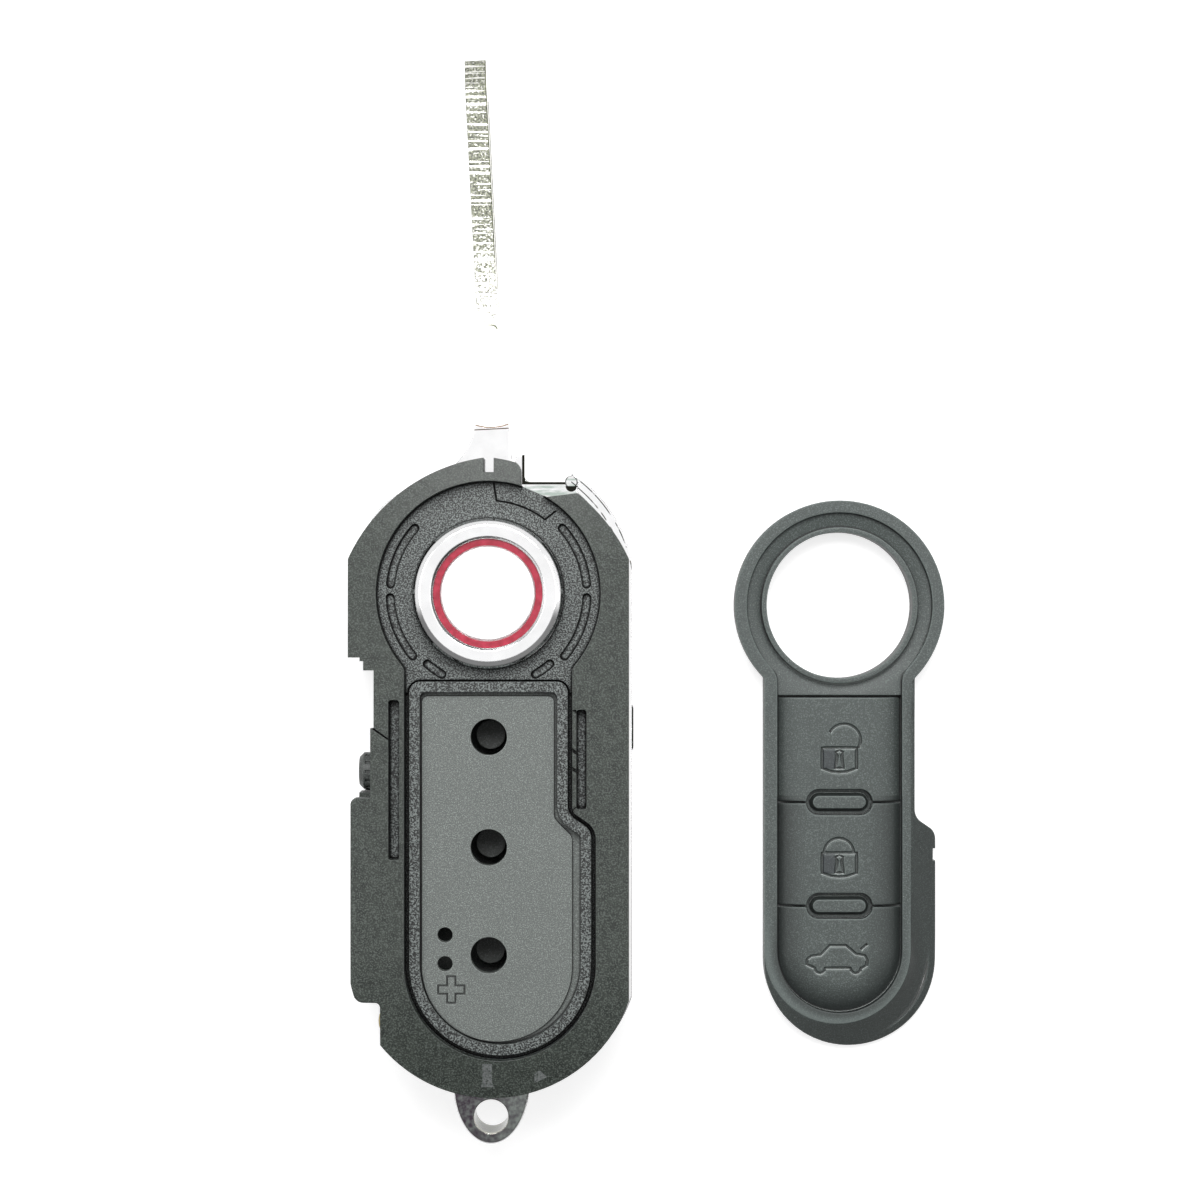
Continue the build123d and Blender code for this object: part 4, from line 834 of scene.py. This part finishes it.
def padlock(top, foot):
    """The body of a padlock with its rounded foot, and its keyhole."""
    body = [(-LOCK_HALF_W, top), (-LOCK_HALF_W, foot + 0.45), (-0.9, foot + 0.08), (0, foot)]
    body += [(0.9, foot + 0.08), (LOCK_HALF_W, foot + 0.45), (LOCK_HALF_W, top)]
    hole = [(-0.45, foot + 0.5), (-0.25, top - 0.9), (-0.4, top - 0.5), (0, top - 0.25)]
    hole += [(0.4, top - 0.5), (0.25, top - 0.9), (0.45, foot + 0.5)]
    return [(body, True), (hole, True)]


def symbols():
    """Every stroke on the keypad as (points, closed), in millimetres from its ring's centre."""
    (open_top, open_foot), (shut_top, shut_foot) = LOCK_FIELDS
    strokes = padlock(open_top, open_foot) + padlock(shut_top, shut_foot)
    strokes.append((arc(0.55, open_top + 0.85, OPEN_SHACKLE_R, -27, 150), False))
    strokes.append((arc(-0.05, shut_top, SHACKLE_R, 0, 180), False))
    roof_y, sill_y, deck_y = -38.75, -41.3, -39.7
    car = [(-3.7, -40.9), (-3.65, -40.3), (-3.2, -39.95), (-2.1, -39.8)]
    car += [(-1.1, roof_y), (0.75, roof_y), (1.85, deck_y), (2.9, -39.9)]
    car += [(3.15, -40.4), (3.1, -41.0), (2.6, sill_y)]
    for wheel_x in WHEEL_XS:
        car += arc(wheel_x, sill_y, WHEEL_R, 0, -180, 30)
    strokes.append((car, True))
    open_lid = [(2.45, -39.2), (3.2, -38.55)]
    strokes.append((open_lid, False))
    return strokes


def finish_piece(piece, node, body, slot):
    """A finished piece stands for its CAD node and moves with its body."""
    dress(piece, slot)
    for polygon in piece.data.polygons:
        polygon.use_smooth = True
    piece.data.set_sharp_from_angle(angle=SHARP_ANGLE)
    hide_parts(node)
    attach(piece, body)


def keypad():
    """The keypad with its symbols engraved in the pillow."""

    def on_pillow(point):
        x, y = point
        past = max(math.hypot(x, min(y - PAD_FOOT_Y, 0)) - PILLOW_LEVEL_X, 0)
        z = PILLOW_Z - PILLOW_R + math.sqrt(PILLOW_R**2 - past**2)
        return ((PAD_X + x) * MM, (PAD_Y + y) * MM, z * MM)

    pad = solid_copy("keypad_rubber", "rubber_keypad")
    cutters = []
    for i, (points, closed) in enumerate(symbols()):
        line = [on_pillow(point) for point in spaced(points, closed, STROKE_STEP)]
        cutters.append(tube(f"stroke_{i}", line, STROKE_R * MM, closed))
    engrave(pad, cutters)
    finish_piece(pad, "rubber_keypad", "case", "rubber")


def switch_plate():
    """The switch plate with the plus mark of the cell engraved beside the lower holes."""
    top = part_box("switch_plate")[1].z
    corners = [(PLUS_ARM, -PLUS_HALF_W), (PLUS_ARM, PLUS_HALF_W), (PLUS_HALF_W, PLUS_HALF_W)]
    outline = []
    for _ in range(4):
        outline += [(PLUS_X + px, PLUS_Y + py) for px, py in corners]
        corners = [(-py, px) for px, py in corners]
    points = [(px * MM, py * MM, top) for px, py in spaced(outline, True, PLUS_STEP)]
    plate = solid_copy("switch_plate_marked", "switch_plate")
    engrave(plate, [tube("plus", points, PLUS_R * MM, True)])
    finish_piece(plate, "switch_plate", "case", "grey_plastic")


def release_coil():
    """The spring under the button, as a welded copy with a mesh of its own."""
    coil = solid_copy("release_coil", "release_spring")
    finish_piece(coil, "release_spring", "case", "spring_steel")
    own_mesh(coil)


bpy.context.scene.view_settings.view_transform = "Standard"
add_camera()
light_world()
add_floor()
for lamp in LAMPS:
    add_softbox(*lamp)

MATERIALS = make_materials()
for part in frame["record"]["subparts"]:
    dress(NODES[part["node"]], part["material_slot"])
keypad()
switch_plate()
release_coil()
